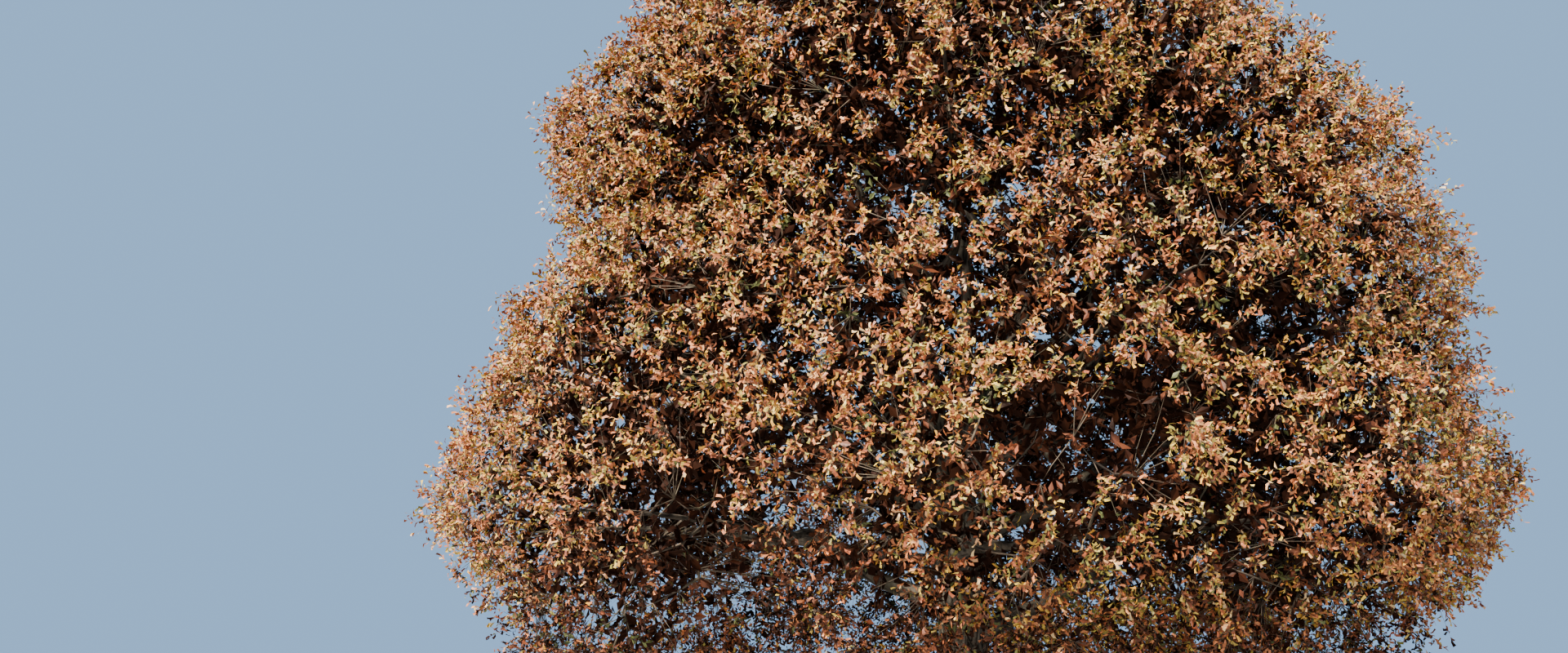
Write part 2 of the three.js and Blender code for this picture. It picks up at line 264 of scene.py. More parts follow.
@dataclass
class MeshStore:
    """Vertices and faces that are gathered into one joined mesh."""

    vertices: list[Points] = field(default_factory=list)
    faces: list[Whole] = field(default_factory=list)
    marks: list[Points] = field(default_factory=list)
    count: int = 0

    def add(self, vertices: Points, faces: Sequence[Whole], marks: Points | None = None) -> None:
        """Add a part.

        Args:
            vertices: Places, one to a row.
            faces: Blocks of faces, each with as many columns as its faces have corners.
            marks: A number for each vertex, which the bark's finish reads.
        """
        self.vertices.append(vertices)
        self.faces.extend(block + self.count for block in faces)
        self.marks.append(np.zeros(len(vertices)) if marks is None else marks)
        self.count += len(vertices)

    def add_copies(self, vertices: Points, faces: Sequence[Whole]) -> None:
        """Add many parts that share their faces.

        Args:
            vertices: Places, a block of them to a part.
            faces: Blocks of one part's faces.
        """
        starts = (np.arange(len(vertices)) * vertices.shape[1])[:, None, None]
        copies = [(block[None] + starts).reshape(-1, block.shape[1]) for block in faces]
        self.add(vertices.reshape(-1, 3), copies)

    def triangles(self) -> int:
        """Count the triangles that the faces come to."""
        return sum(len(block) * (block.shape[1] - 2) for block in self.faces)

    def piece(
        self, name: str, material: bpy.types.Material, mark_name: str = "", smooth: bool = True
    ) -> bpy.types.Object:
        """Make the joined mesh and its object.

        Args:
            name: The piece's name.
            material: Its finish.
            mark_name: The name under which the marks are kept, or nothing to leave them out.
            smooth: Whether the shading runs on from face to face.

        Returns:
            The new object, linked to the scene.
        """
        mesh = bpy.data.meshes.new(name)
        vertices = np.concatenate(self.vertices).astype(np.float32)
        corners = np.concatenate([block.ravel() for block in self.faces]).astype(np.int32)
        sizes = np.concatenate([np.full(len(block), block.shape[1]) for block in self.faces])
        starts = np.concatenate([[0], np.cumsum(sizes)[:-1]]).astype(np.int32)
        mesh.vertices.add(len(vertices))
        mesh.vertices.foreach_set("co", vertices.ravel())
        mesh.loops.add(len(corners))
        mesh.loops.foreach_set("vertex_index", corners)
        mesh.polygons.add(len(starts))
        mesh.polygons.foreach_set("loop_start", starts)
        mesh.polygons.foreach_set("use_smooth", np.full(len(starts), smooth))
        if mark_name:
            marks = mesh.attributes.new(mark_name, "FLOAT", "POINT")
            marks.data.foreach_set("value", np.concatenate(self.marks).astype(np.float32))
        mesh.materials.append(material)
        mesh.update(calc_edges=True)
        return link(name, mesh)


def tube_faces(rows: int, around: int) -> list[Whole]:
    """Make the faces of a closed tube.

    Args:
        rows: How many rings of vertices it has.
        around: How many vertices a ring has.

    Returns:
        The wall's quads, and a face over each end.
    """
    row, column = np.meshgrid(np.arange(rows - 1), np.arange(around), indexing="ij")
    here = row * around + column
    beside = row * around + (column + 1) % around
    wall = np.stack([here, beside, beside + around, here + around], axis=-1).reshape(-1, 4)
    bottom = np.arange(around)[::-1][None, :]
    top = ((rows - 1) * around + np.arange(around))[None, :]
    return [wall, bottom, top]


def rings_along(points: Points) -> tuple[Points, Points]:
    """Carry two square directions along a path without twist.

    Args:
        points: The path, one point to a row.

    Returns:
        The two directions at each point.
    """
    headings = unit(np.gradient(points, axis=0))
    side = unit(np.cross(headings[0], UNUSED_WAY))
    sides = np.empty_like(points)
    for i, heading in enumerate(headings):
        side = unit(side - heading * (side @ heading))
        sides[i] = side
    return sides, np.cross(headings, sides)


class NodeWork:
    """A new material and the nodes that make it up."""

    def __init__(self, name: str) -> None:
        """Start the material from its shader.

        Args:
            name: The material's name.
        """
        self.material = bpy.data.materials.new(name)
        self.material.use_nodes = True
        self.tree = self.material.node_tree
        self.shader = self.tree.nodes["Principled BSDF"]

    def feed(self, node: bpy.types.Node, **inputs: object) -> None:
        """Give a node its inputs.

        Args:
            node: The node.
            **inputs: A value for each input, or another node's output to link to it, each named as
                the input is, with an underscore for a space.
        """
        for key, value in inputs.items():
            entry = node.inputs[key.replace("_", " ")]
            if isinstance(value, bpy.types.NodeSocket):
                self.tree.links.new(value, entry)
            else:
                entry.default_value = value

    def node(self, kind: str, **inputs: object) -> bpy.types.Node:
        """Add a node of a kind, with its inputs.

        Args:
            kind: The end of the node type's name.
            **inputs: The inputs, as feed takes them.

        Returns:
            The node.
        """
        made = self.tree.nodes.new(f"ShaderNode{kind}")
        self.feed(made, **inputs)
        return made

    def mixed(
        self,
        factor: bpy.types.NodeSocket,
        low: bpy.types.NodeSocket | tuple[float, ...],
        high: tuple[float, ...],
    ) -> bpy.types.NodeSocket:
        """Mix two colours.

        Args:
            factor: How much of the second colour shows.
            low: The first colour, or the socket that gives it.
            high: The second colour.

        Returns:
            The socket of the mixed colour.
        """
        made = self.tree.nodes.new("ShaderNodeMix")
        made.data_type = "RGBA"
        self.feed(made, A=low, B=high, Factor=factor)
        return made.outputs["Result"]

    def bump(self, height: bpy.types.NodeSocket, strength: float, distance: float) -> None:
        """Raise the surface by a height, as far as a distance in metres."""
        made = self.node("Bump", Height=height, Strength=strength, Distance=distance)
        self.feed(self.shader, Normal=made.outputs["Normal"])


class Tint(Enum):
    """The autumn tints of the leaves, as plain linear colours."""

    # pale leaf tints, partly the leaves' own colour and partly a painted highlight
    TAN = (0.62, 0.325, 0.155)
    SAND = (0.70, 0.480, 0.240)
    COPPER = (0.56, 0.222, 0.088)
    CINNAMON = (0.49, 0.185, 0.077)
    RUSSET = (0.390, 0.140, 0.057)
    RUST = (0.300, 0.092, 0.040)
    CHESTNUT = (0.160, 0.055, 0.025)
    # near black, dealt only in the moods that paint shade
    UMBER = (0.038, 0.015, 0.008)
    AMBER = (0.60, 0.330, 0.072)
    OCHRE = (0.56, 0.400, 0.100)
    OLIVE = (0.300, 0.260, 0.070)
    MOSS = (0.115, 0.125, 0.042)

    @property
    def label(self) -> str:
        """Give the tint's name as the pieces and materials have it."""
        return self.name.lower()


@dataclass(frozen=True)
class LeafFinish:
    """A dry leaf: one plain tint with a fine crinkle and an uneven dull shine."""

    tint: Tint
    roughness: Pair = (0.36, 0.62)
    crinkle_scale: float = 55.0
    crinkle_detail: float = 3.0
    crinkle: float = 0.22
    crinkle_height: float = 0.004
    shine: float = 0.42
    umber_shine: float = 0.08

    def material(self) -> bpy.types.Material:
        """Make the leaf's node material.

        Returns:
            The material.
        """
        made = NodeWork(f"leaf_{self.tint.label}")
        noise = made.node(
            "TexNoise",
            Vector=made.node("TexCoord").outputs["Object"],
            Scale=self.crinkle_scale,
            Detail=self.crinkle_detail,
        ).outputs["Fac"]
        low, high = self.roughness
        roughness = made.node("MapRange", Value=noise, To_Min=low, To_Max=high)
        made.feed(
            made.shader,
            Base_Color=(*self.tint.value, 1.0),
            Specular_IOR_Level=self.umber_shine if self.tint is Tint.UMBER else self.shine,
            Roughness=roughness.outputs["Result"],
        )
        made.bump(noise, self.crinkle, self.crinkle_height)
        return made.material


@dataclass(frozen=True)
class Patches:
    """A noise in a piece's own space, sharpened between two levels."""

    scale: float  # in cells for each metre
    detail: float  # how many finer layers it has
    low: float  # the level that becomes 0
    high: float  # the level that becomes 1

    STRETCH = (1.0, 1.0, 0.45)

    def socket(self, made: NodeWork) -> bpy.types.NodeSocket:
        """Add the noise to a material.

        Args:
            made: The material's nodes.

        Returns:
            The socket of the sharpened noise.
        """
        space = made.node("TexCoord").outputs["Object"]
        stretched = made.node("Mapping", Vector=space, Scale=self.STRETCH).outputs["Vector"]
        noise = made.node("TexNoise", Vector=stretched, Scale=self.scale, Detail=self.detail)
        levels = made.node(
            "MapRange", Value=noise.outputs["Fac"], From_Min=self.low, From_Max=self.high
        )
        return levels.outputs["Result"]


@dataclass(frozen=True)
class BarkFinish:
    """Grey-brown bark that is dark in its fissures, partly its own darker bark and partly painted
    shade, with a green bloom of algae in patches.
    """

    name: str
    mark_name: str = "fissure"
    ridge: Triple = (0.135, 0.108, 0.080)
    ridge_pale: Triple = (0.205, 0.175, 0.136)
    # near black in the fissures: the darker bark there with painted shade
    fissure: Triple = (0.020, 0.015, 0.011)
    algae: Triple = (0.095, 0.104, 0.050)
    algae_share: float = 0.55
    algae_scale: float = 1.7
    algae_detail: float = 4.0
    algae_level: float = 0.46
    algae_edge: float = 0.3
    pale_patches: Patches = Patches(9.0, 5.0, 0.36, 0.66)
    grit: Patches = Patches(70.0, 6.0, 0.2, 0.8)
    grit_strength: float = 0.5
    grit_height: float = 0.006
    roughness: float = 0.88
    shine: float = 0.25

    def material(self) -> bpy.types.Material:
        """Make the bark's node material.

        Returns:
            The material.
        """
        made = NodeWork(self.name)
        level, edge = self.algae_level, self.algae_edge / self.algae_share
        algae = Patches(self.algae_scale, self.algae_detail, level, level + edge)
        # the fissure mark darkens the bark, partly its own colour and partly painted shade
        fissure_bark_and_shade = made.node("Attribute")
        fissure_bark_and_shade.attribute_name = self.mark_name
        colour = (*self.ridge, 1.0)
        for factor, over in (
            (self.pale_patches.socket(made), self.ridge_pale),
            (algae.socket(made), self.algae),
            (fissure_bark_and_shade.outputs["Fac"], self.fissure),
        ):
            colour = made.mixed(factor, colour, (*over, 1.0))
        made.feed(
            made.shader, Base_Color=colour, Roughness=self.roughness, Specular_IOR_Level=self.shine
        )
        made.bump(self.grit.socket(made), self.grit_strength, self.grit_height)
        return made.material


@dataclass(frozen=True)
class BarkRelief:
    """The plates and fissures of oak bark, as a depth to take off a limb's wall."""

    depth: float  # of the fissures
    plate_width: float
    plate_length: float
    groove_width: float = 0.11  # how much of the noise's height a groove takes up
    crack_width: float = 0.10
    crack_share: float = 0.45  # of the fissures' depth
    rough_share: float = 0.22
    rough_scale: float = 5.3
    mark_power: float = 1.5
    grain: Grain = field(default_factory=lambda: Grain(BARK_SEED))

    SWAY_SCALE, SWAY = np.array([0.45, 0.45, 0.9]), np.array([0.9, -0.9, 0.3])
    CRACK_SCALE = np.array([1.9, 1.9, 2.6])
    SWAY_SHIFT, CRACK_SHIFT, ROUGH_SHIFT = 31.7, 11.3, 3.1  # part the noises from each other

    def cut(self, places: Points) -> tuple[Points, Points]:
        """Work out the relief.

        Args:
            places: Places on the wall, with the third number along the limb.

        Returns:
            The depth to take off at each place, and how far it lies in a fissure, from 0 to 1.
        """
        scale = np.array([1 / self.plate_width, 1 / self.plate_width, 1 / self.plate_length])
        warped = places * scale
        sway = self.grain.at(warped * self.SWAY_SCALE + self.SWAY_SHIFT)
        warped = warped + sway[:, None] * self.SWAY
        first = self.grain.at(warped)
        second = self.grain.at(warped * self.CRACK_SCALE + self.CRACK_SHIFT)
        groove = np.exp(-((first / self.groove_width) ** 2))
        crack = self.crack_share * np.exp(-((second / self.crack_width) ** 2))
        fissure = np.clip(np.maximum(groove, crack), 0, 1)
        rough = self.rough_share * self.grain.at(warped * self.rough_scale + self.ROUGH_SHIFT)
        return self.depth * (fissure + rough), fissure**self.mark_power


@dataclass(frozen=True)
class Ring:
    """A ring of foliage masses round the crown, with the boughs that carry them."""

    name: str
    count: int
    height: float
    distance: float
    half: Triple  # a mass's half sizes outward, sideways and upward
    tilt: float  # how much the masses' outward axes rise
    phase: float
    leave_low: float  # where the first bough leaves the trunk
    leave_high: float  # and where the last one does
    base_radius: float
    start_rise: float  # how steeply the boughs start
    end_rise: float  # and how steeply they end


RINGS = (
    Ring("skirt", 8, 4.2, 7.1, (2.95, 2.9, 2.25), -0.1, 0.02, 2.25, 3.3, 0.185, 0.42, 0.05),
    Ring("middle", 8, 7.1, 6.4, (2.75, 2.8, 2.15), 0.12, 0.36, 3.55, 4.4, 0.175, 0.8, 0.38),
    Ring("upper", 7, 10.5, 6.0, (2.85, 2.9, 2.25), 0.35, 0.1, 4.5, 5.0, 0.16, 1.05, 0.7),
    Ring("high", 5, 13.9, 4.05, (2.8, 2.9, 2.4), 0.7, 0.5, 5.05, 5.2, 0.15, 1.3, 1.0),
    Ring("top", 1, 16.15, 0.0, (2.05, 2.75, 2.75), math.pi / 2, 0.0, 5.15, 5.15, 0.16, 1.5, 1.45),
)


@dataclass
class Space:
    """The space that one mass of foliage keeps to: an ellipsoid, cut halfway to each neighbour."""

    ring: Ring
    index: int
    azimuth: float
    centre: Points
    axes: Points
    half: Points
    neighbours: list["Space"] = field(default_factory=list)

    @property
    def label(self) -> str:
        """Name the mass as its node does."""
        return f"{self.ring.name}_{self.index + 1}"

    @property
    def mean_half(self) -> float:
        """Give one size for the whole space."""
        return float(np.cbrt(self.half.prod()))

    def place(self, shares: Points) -> Points:
        """Turn shares of the three halves into places."""
        return self.centre + (shares * self.half) @ self.axes

    def depth(self, points: Points) -> Points:
        """Say how far out points lie: 0 at the middle and 1 at the ellipsoid."""
        return np.linalg.norm((points - self.centre) @ self.axes.T / self.half, axis=-1)

    def holds(self, points: Points, margin: float = 0.025) -> Flags:
        """Say which points lie on the space's own side of the planes towards its neighbours.

        Args:
            points: Places, one to a row.
            margin: How far they keep from the planes.

        Returns:
            True for each point on its own side of them all.
        """
        inside = np.ones(len(points), dtype=bool)
        for other in self.neighbours:
            towards = other.centre - self.centre
            apart = float(np.linalg.norm(towards))
            share = self.mean_half / (self.mean_half + other.mean_half)
            inside &= (points - self.centre) @ (towards / apart) < apart * share - margin
        return inside


@dataclass
class Trunk:
    """The trunk, from its flat cut at ground level to the fork."""

    fork_height: float = 5.4
    base_radius: float = 0.5
    fork_radius: float = 0.33
    crown_height: float = 0.42  # of the rounded end at the fork
    crown_round: float = 0.94
    flare_radius: float = 0.29
    flare_height: float = 0.52
    root_ridges: int = 6
    root_ridge_share: float = 0.36
    root_ridge_phase: float = 0.7
    lean: Pair = (0.042, -0.015)
    bend: float = 0.09
    bend_wavelength: float = 6.2
    bend_across: float = -0.6
    around: int = 236
    rows: int = 172
    row_crowding: float = 1.12  # over 1, so that the rows crowd at the flare
    plates_widen_from: float = 0.62  # the radius beyond which the bark's plates grow with it

    def axis(self, heights: Points) -> Points:
        """Give the trunk's middle line at some heights.

        Args:
            heights: The heights.

        Returns:
            A point for each height.
        """
        swing = self.bend * np.sin(2 * np.pi * heights / self.bend_wavelength)
        x = self.lean[0] * heights + swing
        y = self.lean[1] * heights + self.bend_across * swing
        return np.stack([x, y, heights], axis=-1)

    def radius(self, heights: Points, angles: Points) -> Points:
        """Give the trunk's radius at heights and angles round it.

        Args:
            heights: The heights.
            angles: An angle for each height.

        Returns:
            A radius for each pair.
        """
        taper = (self.fork_radius - self.base_radius) * heights / self.fork_height
        shaft = self.base_radius + taper
        swing = np.cos(self.root_ridges * angles + self.root_ridge_phase)
        ridges = 1 + self.root_ridge_share * swing
        flare = self.flare_radius * np.exp(-heights / self.flare_height) * ridges
        from_top = np.clip(1 - (self.fork_height - heights) / self.crown_height, 0, 1)
        return (shaft + flare) * np.sqrt(1 - self.crown_round * from_top**2)

    def build(self, finish: BarkFinish) -> bpy.types.Object:
        """Build the trunk with its bark.

        Args:
            finish: The bark's finish.

        Returns:
            The trunk's piece.
        """
        relief = BarkRelief(depth=0.021, plate_width=0.085, plate_length=0.34)
        levels = self.fork_height * np.linspace(0, 1, self.rows) ** self.row_crowding
        grids = np.meshgrid(levels, full_turn(self.around), indexing="ij")
        heights, angles = (grid.ravel() for grid in grids)
        radii = self.radius(heights, angles)
        flat = np.stack([np.cos(angles), np.sin(angles)], axis=-1)
        bark_radii = np.minimum(radii, self.plates_widen_from)
        cut, marks = relief.cut(np.column_stack([flat * bark_radii[:, None], heights]))
        places = self.axis(heights)
        places[:, :2] += flat * (radii - cut)[:, None]
        store = MeshStore()
        store.add(places, tube_faces(self.rows, self.around), marks)
        piece = store.piece("trunk_bark", finish.material(), finish.mark_name)
        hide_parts("trunk")
        return dress(piece, store)


@dataclass
class Bough:
    """A bough and the stem that carries it on into its mass of foliage."""

    space: Space
    line: Line
    base_radius: float
    stem: Line

    TIP_RADIUS = 0.062
    STEM_TIP_RADIUS = 0.02
    COLLAR_SHARE = 0.4
    COLLAR_LENGTH = 0.07
    TAPER_POWER = 0.85
    LEAST_STEPS, LEAST_STEM_STEPS = 6, 4

    def radius(self, shares: Points) -> Points:
        """Give the bough's radius at shares of its length."""
        collar = 1 + self.COLLAR_SHARE * np.exp(-shares / self.COLLAR_LENGTH)
        return mix(self.base_radius, self.TIP_RADIUS, shares**self.TAPER_POWER) * collar

    def path(self, spacing: float) -> tuple[Points, Points]:
        """Give the points and radii along the bough and its stem.

        Args:
            spacing: The distance from one point to the next.

        Returns:
            The points, and the radius at each.
        """
        steps = max(self.LEAST_STEPS, round(self.line.length / spacing))
        stem_steps = max(self.LEAST_STEM_STEPS, round(self.stem.length / spacing))
        shares = np.linspace(0, 1, steps + 1)
        onward = np.linspace(0, 1, stem_steps + 1)[1:]
        points = np.concatenate([self.line.places(shares), self.stem.places(onward)])
        tail = mix(self.TIP_RADIUS, self.STEM_TIP_RADIUS, onward)
        return points, np.concatenate([self.radius(shares), tail])


@dataclass
class Limbs:
    """The boughs, each a tapering limb that leaves the trunk or the bough before it."""

    trunk: Trunk
    spaces: list[Space]
    fork_base_radius: float = 0.105
    fork_at: float = 0.4
    fork_rise: float = 0.12
    wobble: float = 0.028
    wobble_turns: float = 1.6
    wobble_skew: float = 0.8
    start_pull: float = 0.42
    end_pull: float = 0.34
    entry: float = 0.84
    stem_reach: float = 0.3
    seat_gap: float = 0.0003
    around: int = 22
    spacing: float = 0.13
    fissure_share: float = 0.07  # of a limb's mean radius, as is the next
    plate_share: float = 0.42
    plate_length: float = 0.3
    bark_shift: float = 3.7  # parts one limb's bark from the next one's
    sample_count: int = 40
    boughs: list[Bough] = field(default_factory=list)

    def _curve(
        self, start: Points, leaving: Points, end: Points, entering: Points, phase: float
    ) -> Line:
        """Draw a bough's middle line.

        Args:
            start: Where it leaves.
            leaving: The direction in which it leaves.
            end: Where it enters its mass.
            entering: The direction in which it enters.
            phase: Where its swing starts.

        Returns:
            The line.
        """
        reach = float(np.linalg.norm(end - start))
        first = start + leaving * reach * self.start_pull
        last = end - entering * reach * self.end_pull
        smooth = bezier(start, first, last, end)
        along = unit(end - start)
        across = unit(np.array([-along[1], along[0], 0.0]))
        over = np.cross(along, across)

        def shape(parameters: Points) -> Points:
            """Give the swinging curve's points.

            Args:
                parameters: Numbers from 0 to 1.

            Returns:
                A point for each.
            """
            fade = np.sin(np.pi * parameters) * reach * self.wobble
            turn = 2 * np.pi * self.wobble_turns * parameters + phase
            sideways = (fade * np.sin(turn))[:, None] * across
            upwards = (fade * np.cos(turn * self.wobble_skew))[:, None] * over
            return smooth(parameters) + sideways + upwards

        return Line(shape)

    def _stem(self, space: Space, line: Line) -> Line:
        """Carry a bough on into its mass.

        Args:
            space: The mass's space.
            line: The bough's line.

        Returns:
            The stem's line.
        """
        heading = line.heading(1)
        foot = line.places([1])[0] + heading * self.seat_gap
        end = space.centre + space.axes[0] * space.half[0] * self.stem_reach
        pull = float(np.linalg.norm(end - foot)) / 3
        return Line(bezier(foot, foot + heading * pull, end - space.axes[0] * pull, end))

    def _bough(self, space: Space, carrier: Bough | None) -> Bough:
        """Grow the bough of one mass.

        Args:
            space: The mass's space.
            carrier: The bough that this one leaves, or None for the trunk.

        Returns:
            The bough.
        """
        ring = space.ring
        entering = outward_at(space.azimuth, ring.end_rise)
        edge = 1 / float(np.linalg.norm(space.axes @ -entering / space.half))
        end = space.centre - entering * edge * self.entry
        if carrier is not None:
            start = carrier.line.places([self.fork_at])[0]
            leaving = unit(carrier.line.heading(self.fork_at) + unit(end - start))
            leaving = unit(leaving + self.fork_rise * UP)
            base_radius = self.fork_base_radius
        else:
            share = space.index / (ring.count - 1) if ring.count > 1 else 0.0
            start = self.trunk.axis(np.array([mix(ring.leave_low, ring.leave_high, share)]))[0]
            leaving = outward_at(space.azimuth, ring.start_rise)
            base_radius = ring.base_radius
        line = self._curve(start, leaving, end, entering, space.index * GOLDEN_ANGLE)
        return Bough(space, line, base_radius, self._stem(space, line))

    def grow(self) -> None:
        """Grow every bough. Even masses hang on the trunk, and odd ones on the bough before."""
        for space in self.spaces:
            carrier = self.boughs[-1] if space.index % 2 else None
            self.boughs.append(self._bough(space, carrier))

    def samples(self) -> tuple[Points, Points]:
        """Follow the trunk and every bough.

        Returns:
            The points, and the radius at each.
        """
        heights = np.linspace(0, self.trunk.fork_height, self.sample_count)
        shares = np.linspace(0, 1, self.sample_count)
        points = [self.trunk.axis(heights), *(bough.line.places(shares) for bough in self.boughs)]
        radii = [self.trunk.radius(heights, np.zeros_like(heights))]
        radii.extend(bough.radius(shares) for bough in self.boughs)
        return np.concatenate(points), np.concatenate(radii)

    def _add(self, store: MeshStore, bough: Bough, shift: float) -> None:
        """Add a bough with its bark.

        Args:
            store: The mesh that it joins.
            bough: The bough.
            shift: How far its bark is set off from the other limbs'.
        """
        points, radii = bough.path(self.spacing)
        sides, overs = rings_along(points)
        size = radii.mean()
        relief = BarkRelief(self.fissure_share * size, self.plate_share * size, self.plate_length)
        turns = full_turn(self.around)
        cosines, sines = np.cos(turns)[None, :], np.sin(turns)[None, :]
        spokes = cosines[..., None] * sides[:, None, :] + sines[..., None] * overs[:, None, :]
        run = np.concatenate([[0], np.cumsum(np.linalg.norm(np.diff(points, axis=0), axis=1))])
        x, y = cosines * radii[:, None] + shift, sines * radii[:, None]
        wall = np.stack([x, y, np.broadcast_to(run[:, None], x.shape)], axis=-1)
        cut, marks = relief.cut(wall.reshape(-1, 3))
        cut = cut.reshape(*x.shape, 1) * (radii / radii.max())[:, None, None]
        places = points[:, None, :] + spokes * (radii[:, None, None] - cut)
        store.add(places.reshape(-1, 3), tube_faces(len(points), self.around), marks)

    def build(self, finish: BarkFinish) -> bpy.types.Object:
        """Build the boughs with their bark as one joined piece.

        Args:
            finish: The bark's finish.

        Returns:
            The boughs' piece.
        """
        store = MeshStore()
        for number, bough in enumerate(self.boughs):
            self._add(store, bough, number * self.bark_shift)
        piece = store.piece("boughs_bark", finish.material(), finish.mark_name)
        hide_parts(*(f"bough_{bough.space.label}" for bough in self.boughs))
        return dress(piece, store)


class LeafForm(Enum):
    """The outlines of a leaf, as shares of its length and its width from its foot on."""

    LOBED_LEFT = ((0.0, 0.42, 0.56, 0.96, 0.9), (0.0, -0.48, 0.14, -0.3, 0.44))
    LOBED_RIGHT = ((0.0, 0.56, 0.42, 0.9, 0.96), (0.0, -0.14, 0.48, -0.44, 0.3))
    PLAIN = ((0.0, 0.56, 0.56, 1.0), (0.0, -0.48, 0.48, 0.0))

    def faces(self) -> list[Whole]:
        """Give the leaf's faces, from foot to tip.

        Returns:
            Blocks of faces.
        """
        if self is LeafForm.PLAIN:
            return [np.array([[0, 2, 3, 1]])]
        return [np.array([[0, 2, 1], [1, 2, 3], [3, 2, 4]])]


@dataclass
class Leaves:
    """Leaves as rows of roots, directions, upper faces and lengths, until they are built."""

    width: float = 0.55  # of a leaf's length
    droop: Pair = (-0.1, 0.55)
    cup: Pair = (-0.3, 0.6)
    twist: Pair = (-0.9, 0.9)
    twist_from: float = 0.45  # of its length, where it isn't twisted
    rows: list[Sequence[Points]] = field(default_factory=list)

    def join(self, store: MeshStore, form: LeafForm, rng: np.random.Generator) -> None:
        """Join the leaves into a mesh, each with a curl of its own.

        Args:
            store: The mesh that they join.
            form: The leaves' outline.
            rng: Deals out the curls.
        """
        if not self.rows:
            return
        roots, alongs, looks, lengths = (np.concatenate(row) for row in zip(*self.rows))
        looks = square_to(looks, alongs)
        sides = np.cross(looks, alongs)
        along, aside = (np.array(shares)[None, :, None] for shares in form.value)
        aside = aside * self.width
        droop, cup, twist = (
            rng.uniform(*limits, len(roots))[:, None, None]
            for limits in (self.droop, self.cup, self.twist)
        )
        lift = cup * np.abs(aside) + twist * aside * (along - self.twist_from) - droop * along**2
        places = roots[:, None, :] + lengths[:, None, None] * (
            along * alongs[:, None, :] + aside * sides[:, None, :] + lift * looks[:, None, :]
        )
        store.add_copies(places, form.faces())


def add_twigs(store: MeshStore, paths: Points, radii: Sequence[float]) -> None:
    """Add three-sided twigs that taper to a point along short paths.

    Args:
        store: The mesh that they join.
        paths: A path of the same number of points for each twig.
        radii: The radius at each point of a path, the same for every twig.
    """
    count, steps, _ = paths.shape
    rings, around, upright = steps - 1, 3, 0.9
    headings = unit(np.gradient(paths, axis=1))[:, :rings]
    guide = np.where(np.abs(headings[:, :1, 2:]) > upright, np.array([1.0, 0.0, 0.0]), UP)
    sides = unit(np.cross(headings, guide))[:, :, None, :]
    overs = np.cross(headings[:, :, None, :], sides)
    turns = (np.arange(around) * 2 * np.pi / around)[None, None, :, None]
    spokes = np.cos(turns) * sides + np.sin(turns) * overs
    places = paths[:, :rings, None, :] + np.array(radii)[None, :rings, None, None] * spokes
    places = np.concatenate([places.reshape(count, -1, 3), paths[:, -1:]], axis=1)
    grids = np.meshgrid(np.arange(rings), np.arange(around), indexing="ij")
    step, turn = (grid.ravel() for grid in grids)
    here, beside = step * around + turn, step * around + (turn + 1) % around
    wall = np.stack([here, beside, beside + around, here + around], axis=-1)
    end = np.full(around, rings * around)
    point = np.stack([here[-around:], beside[-around:], end], axis=-1)
    store.add_copies(places, (wall[:-around], point))


@dataclass(frozen=True)
class Hollow:
    """A hollow in the crown's face, where its dark inside, its limbs and some sky show."""

    place: Triple
    radius: float
    through: bool  # whether much sky shows
    stretch: float = 0.55  # how much less it counts to lie further in

    def holds(self, points: Points) -> Flags:
        """Say which points lie in the hollow.

        Args:
            points: Places, one to a row.

        Returns:
            True for each point inside.
        """
        place = np.array(self.place)
        inward = unit(place * np.array([1.0, 1.0, 0.0]))
        offset = points - place
        along = (offset @ inward)[:, None] * inward
        return np.linalg.norm(offset - along * (1 - self.stretch), axis=1) < self.radius


DARK_HOLLOWS = (  # each a place and a radius
    (2.2, -9.2, 4.7, 0.62), (1.3, -9.2, 4.6, 0.62), (-3.1, -7.3, 4.7, 0.55),
    (-0.8, -8.2, 8.3, 0.45), (0.9, -9.6, 3.3, 0.48), (1.6, -9.0, 2.9, 0.45),
    (0.4, -9.8, 4.2, 0.33), (4.3, -7.0, 2.7, 0.5), (-4.8, -7.0, 2.6, 0.45),
    (4.1, -7.7, 8.0, 0.42), (-4.1, -7.6, 7.2, 0.38),
)
SKY_HOLLOWS = (
    (-3.3, -7.3, 3.7, 0.85), (-2.2, -6.8, 3.8, 0.6), (-3.5, -5.5, 2.5, 0.6),
    (-4.9, -6.6, 2.4, 0.7), (-4.1, -6.6, 2.4, 0.72), (-3.1, -6.6, 2.4, 0.7),
    (-2.2, -6.4, 2.4, 0.55), (-3.9, -1.0, 2.6, 1.5), (-0.9, -7.0, 2.5, 0.5),
    (-1.0, -4.0, 2.6, 0.8), (-5.8, -5.0, 2.3, 0.5), (-7.0, 0.0, 2.4, 0.8),
    (5.9, -4.6, 2.3, 0.6), (6.5, -2.5, 2.35, 0.6), (7.0, 0.0, 2.5, 0.9), (7.9, 3.8, 2.6, 0.9),
    (-4.4, 3.6, 2.9, 1.35), (-6.3, 3.0, 2.8, 0.8), (-3.4, 0.0, 5.0, 0.9), (-4.2, 6.5, 5.8, 0.9),
    (2.3, 0.0, 6.2, 0.7), (2.9, 7.5, 7.3, 0.8), (4.4, -7.6, 6.3, 0.5), (5.8, -1.5, 7.7, 0.6),
)
HOLLOWS = tuple(
    Hollow((x, y, z), radius, through)
    for rows, through in ((DARK_HOLLOWS, False), (SKY_HOLLOWS, True))
    for x, y, z, radius in rows
)


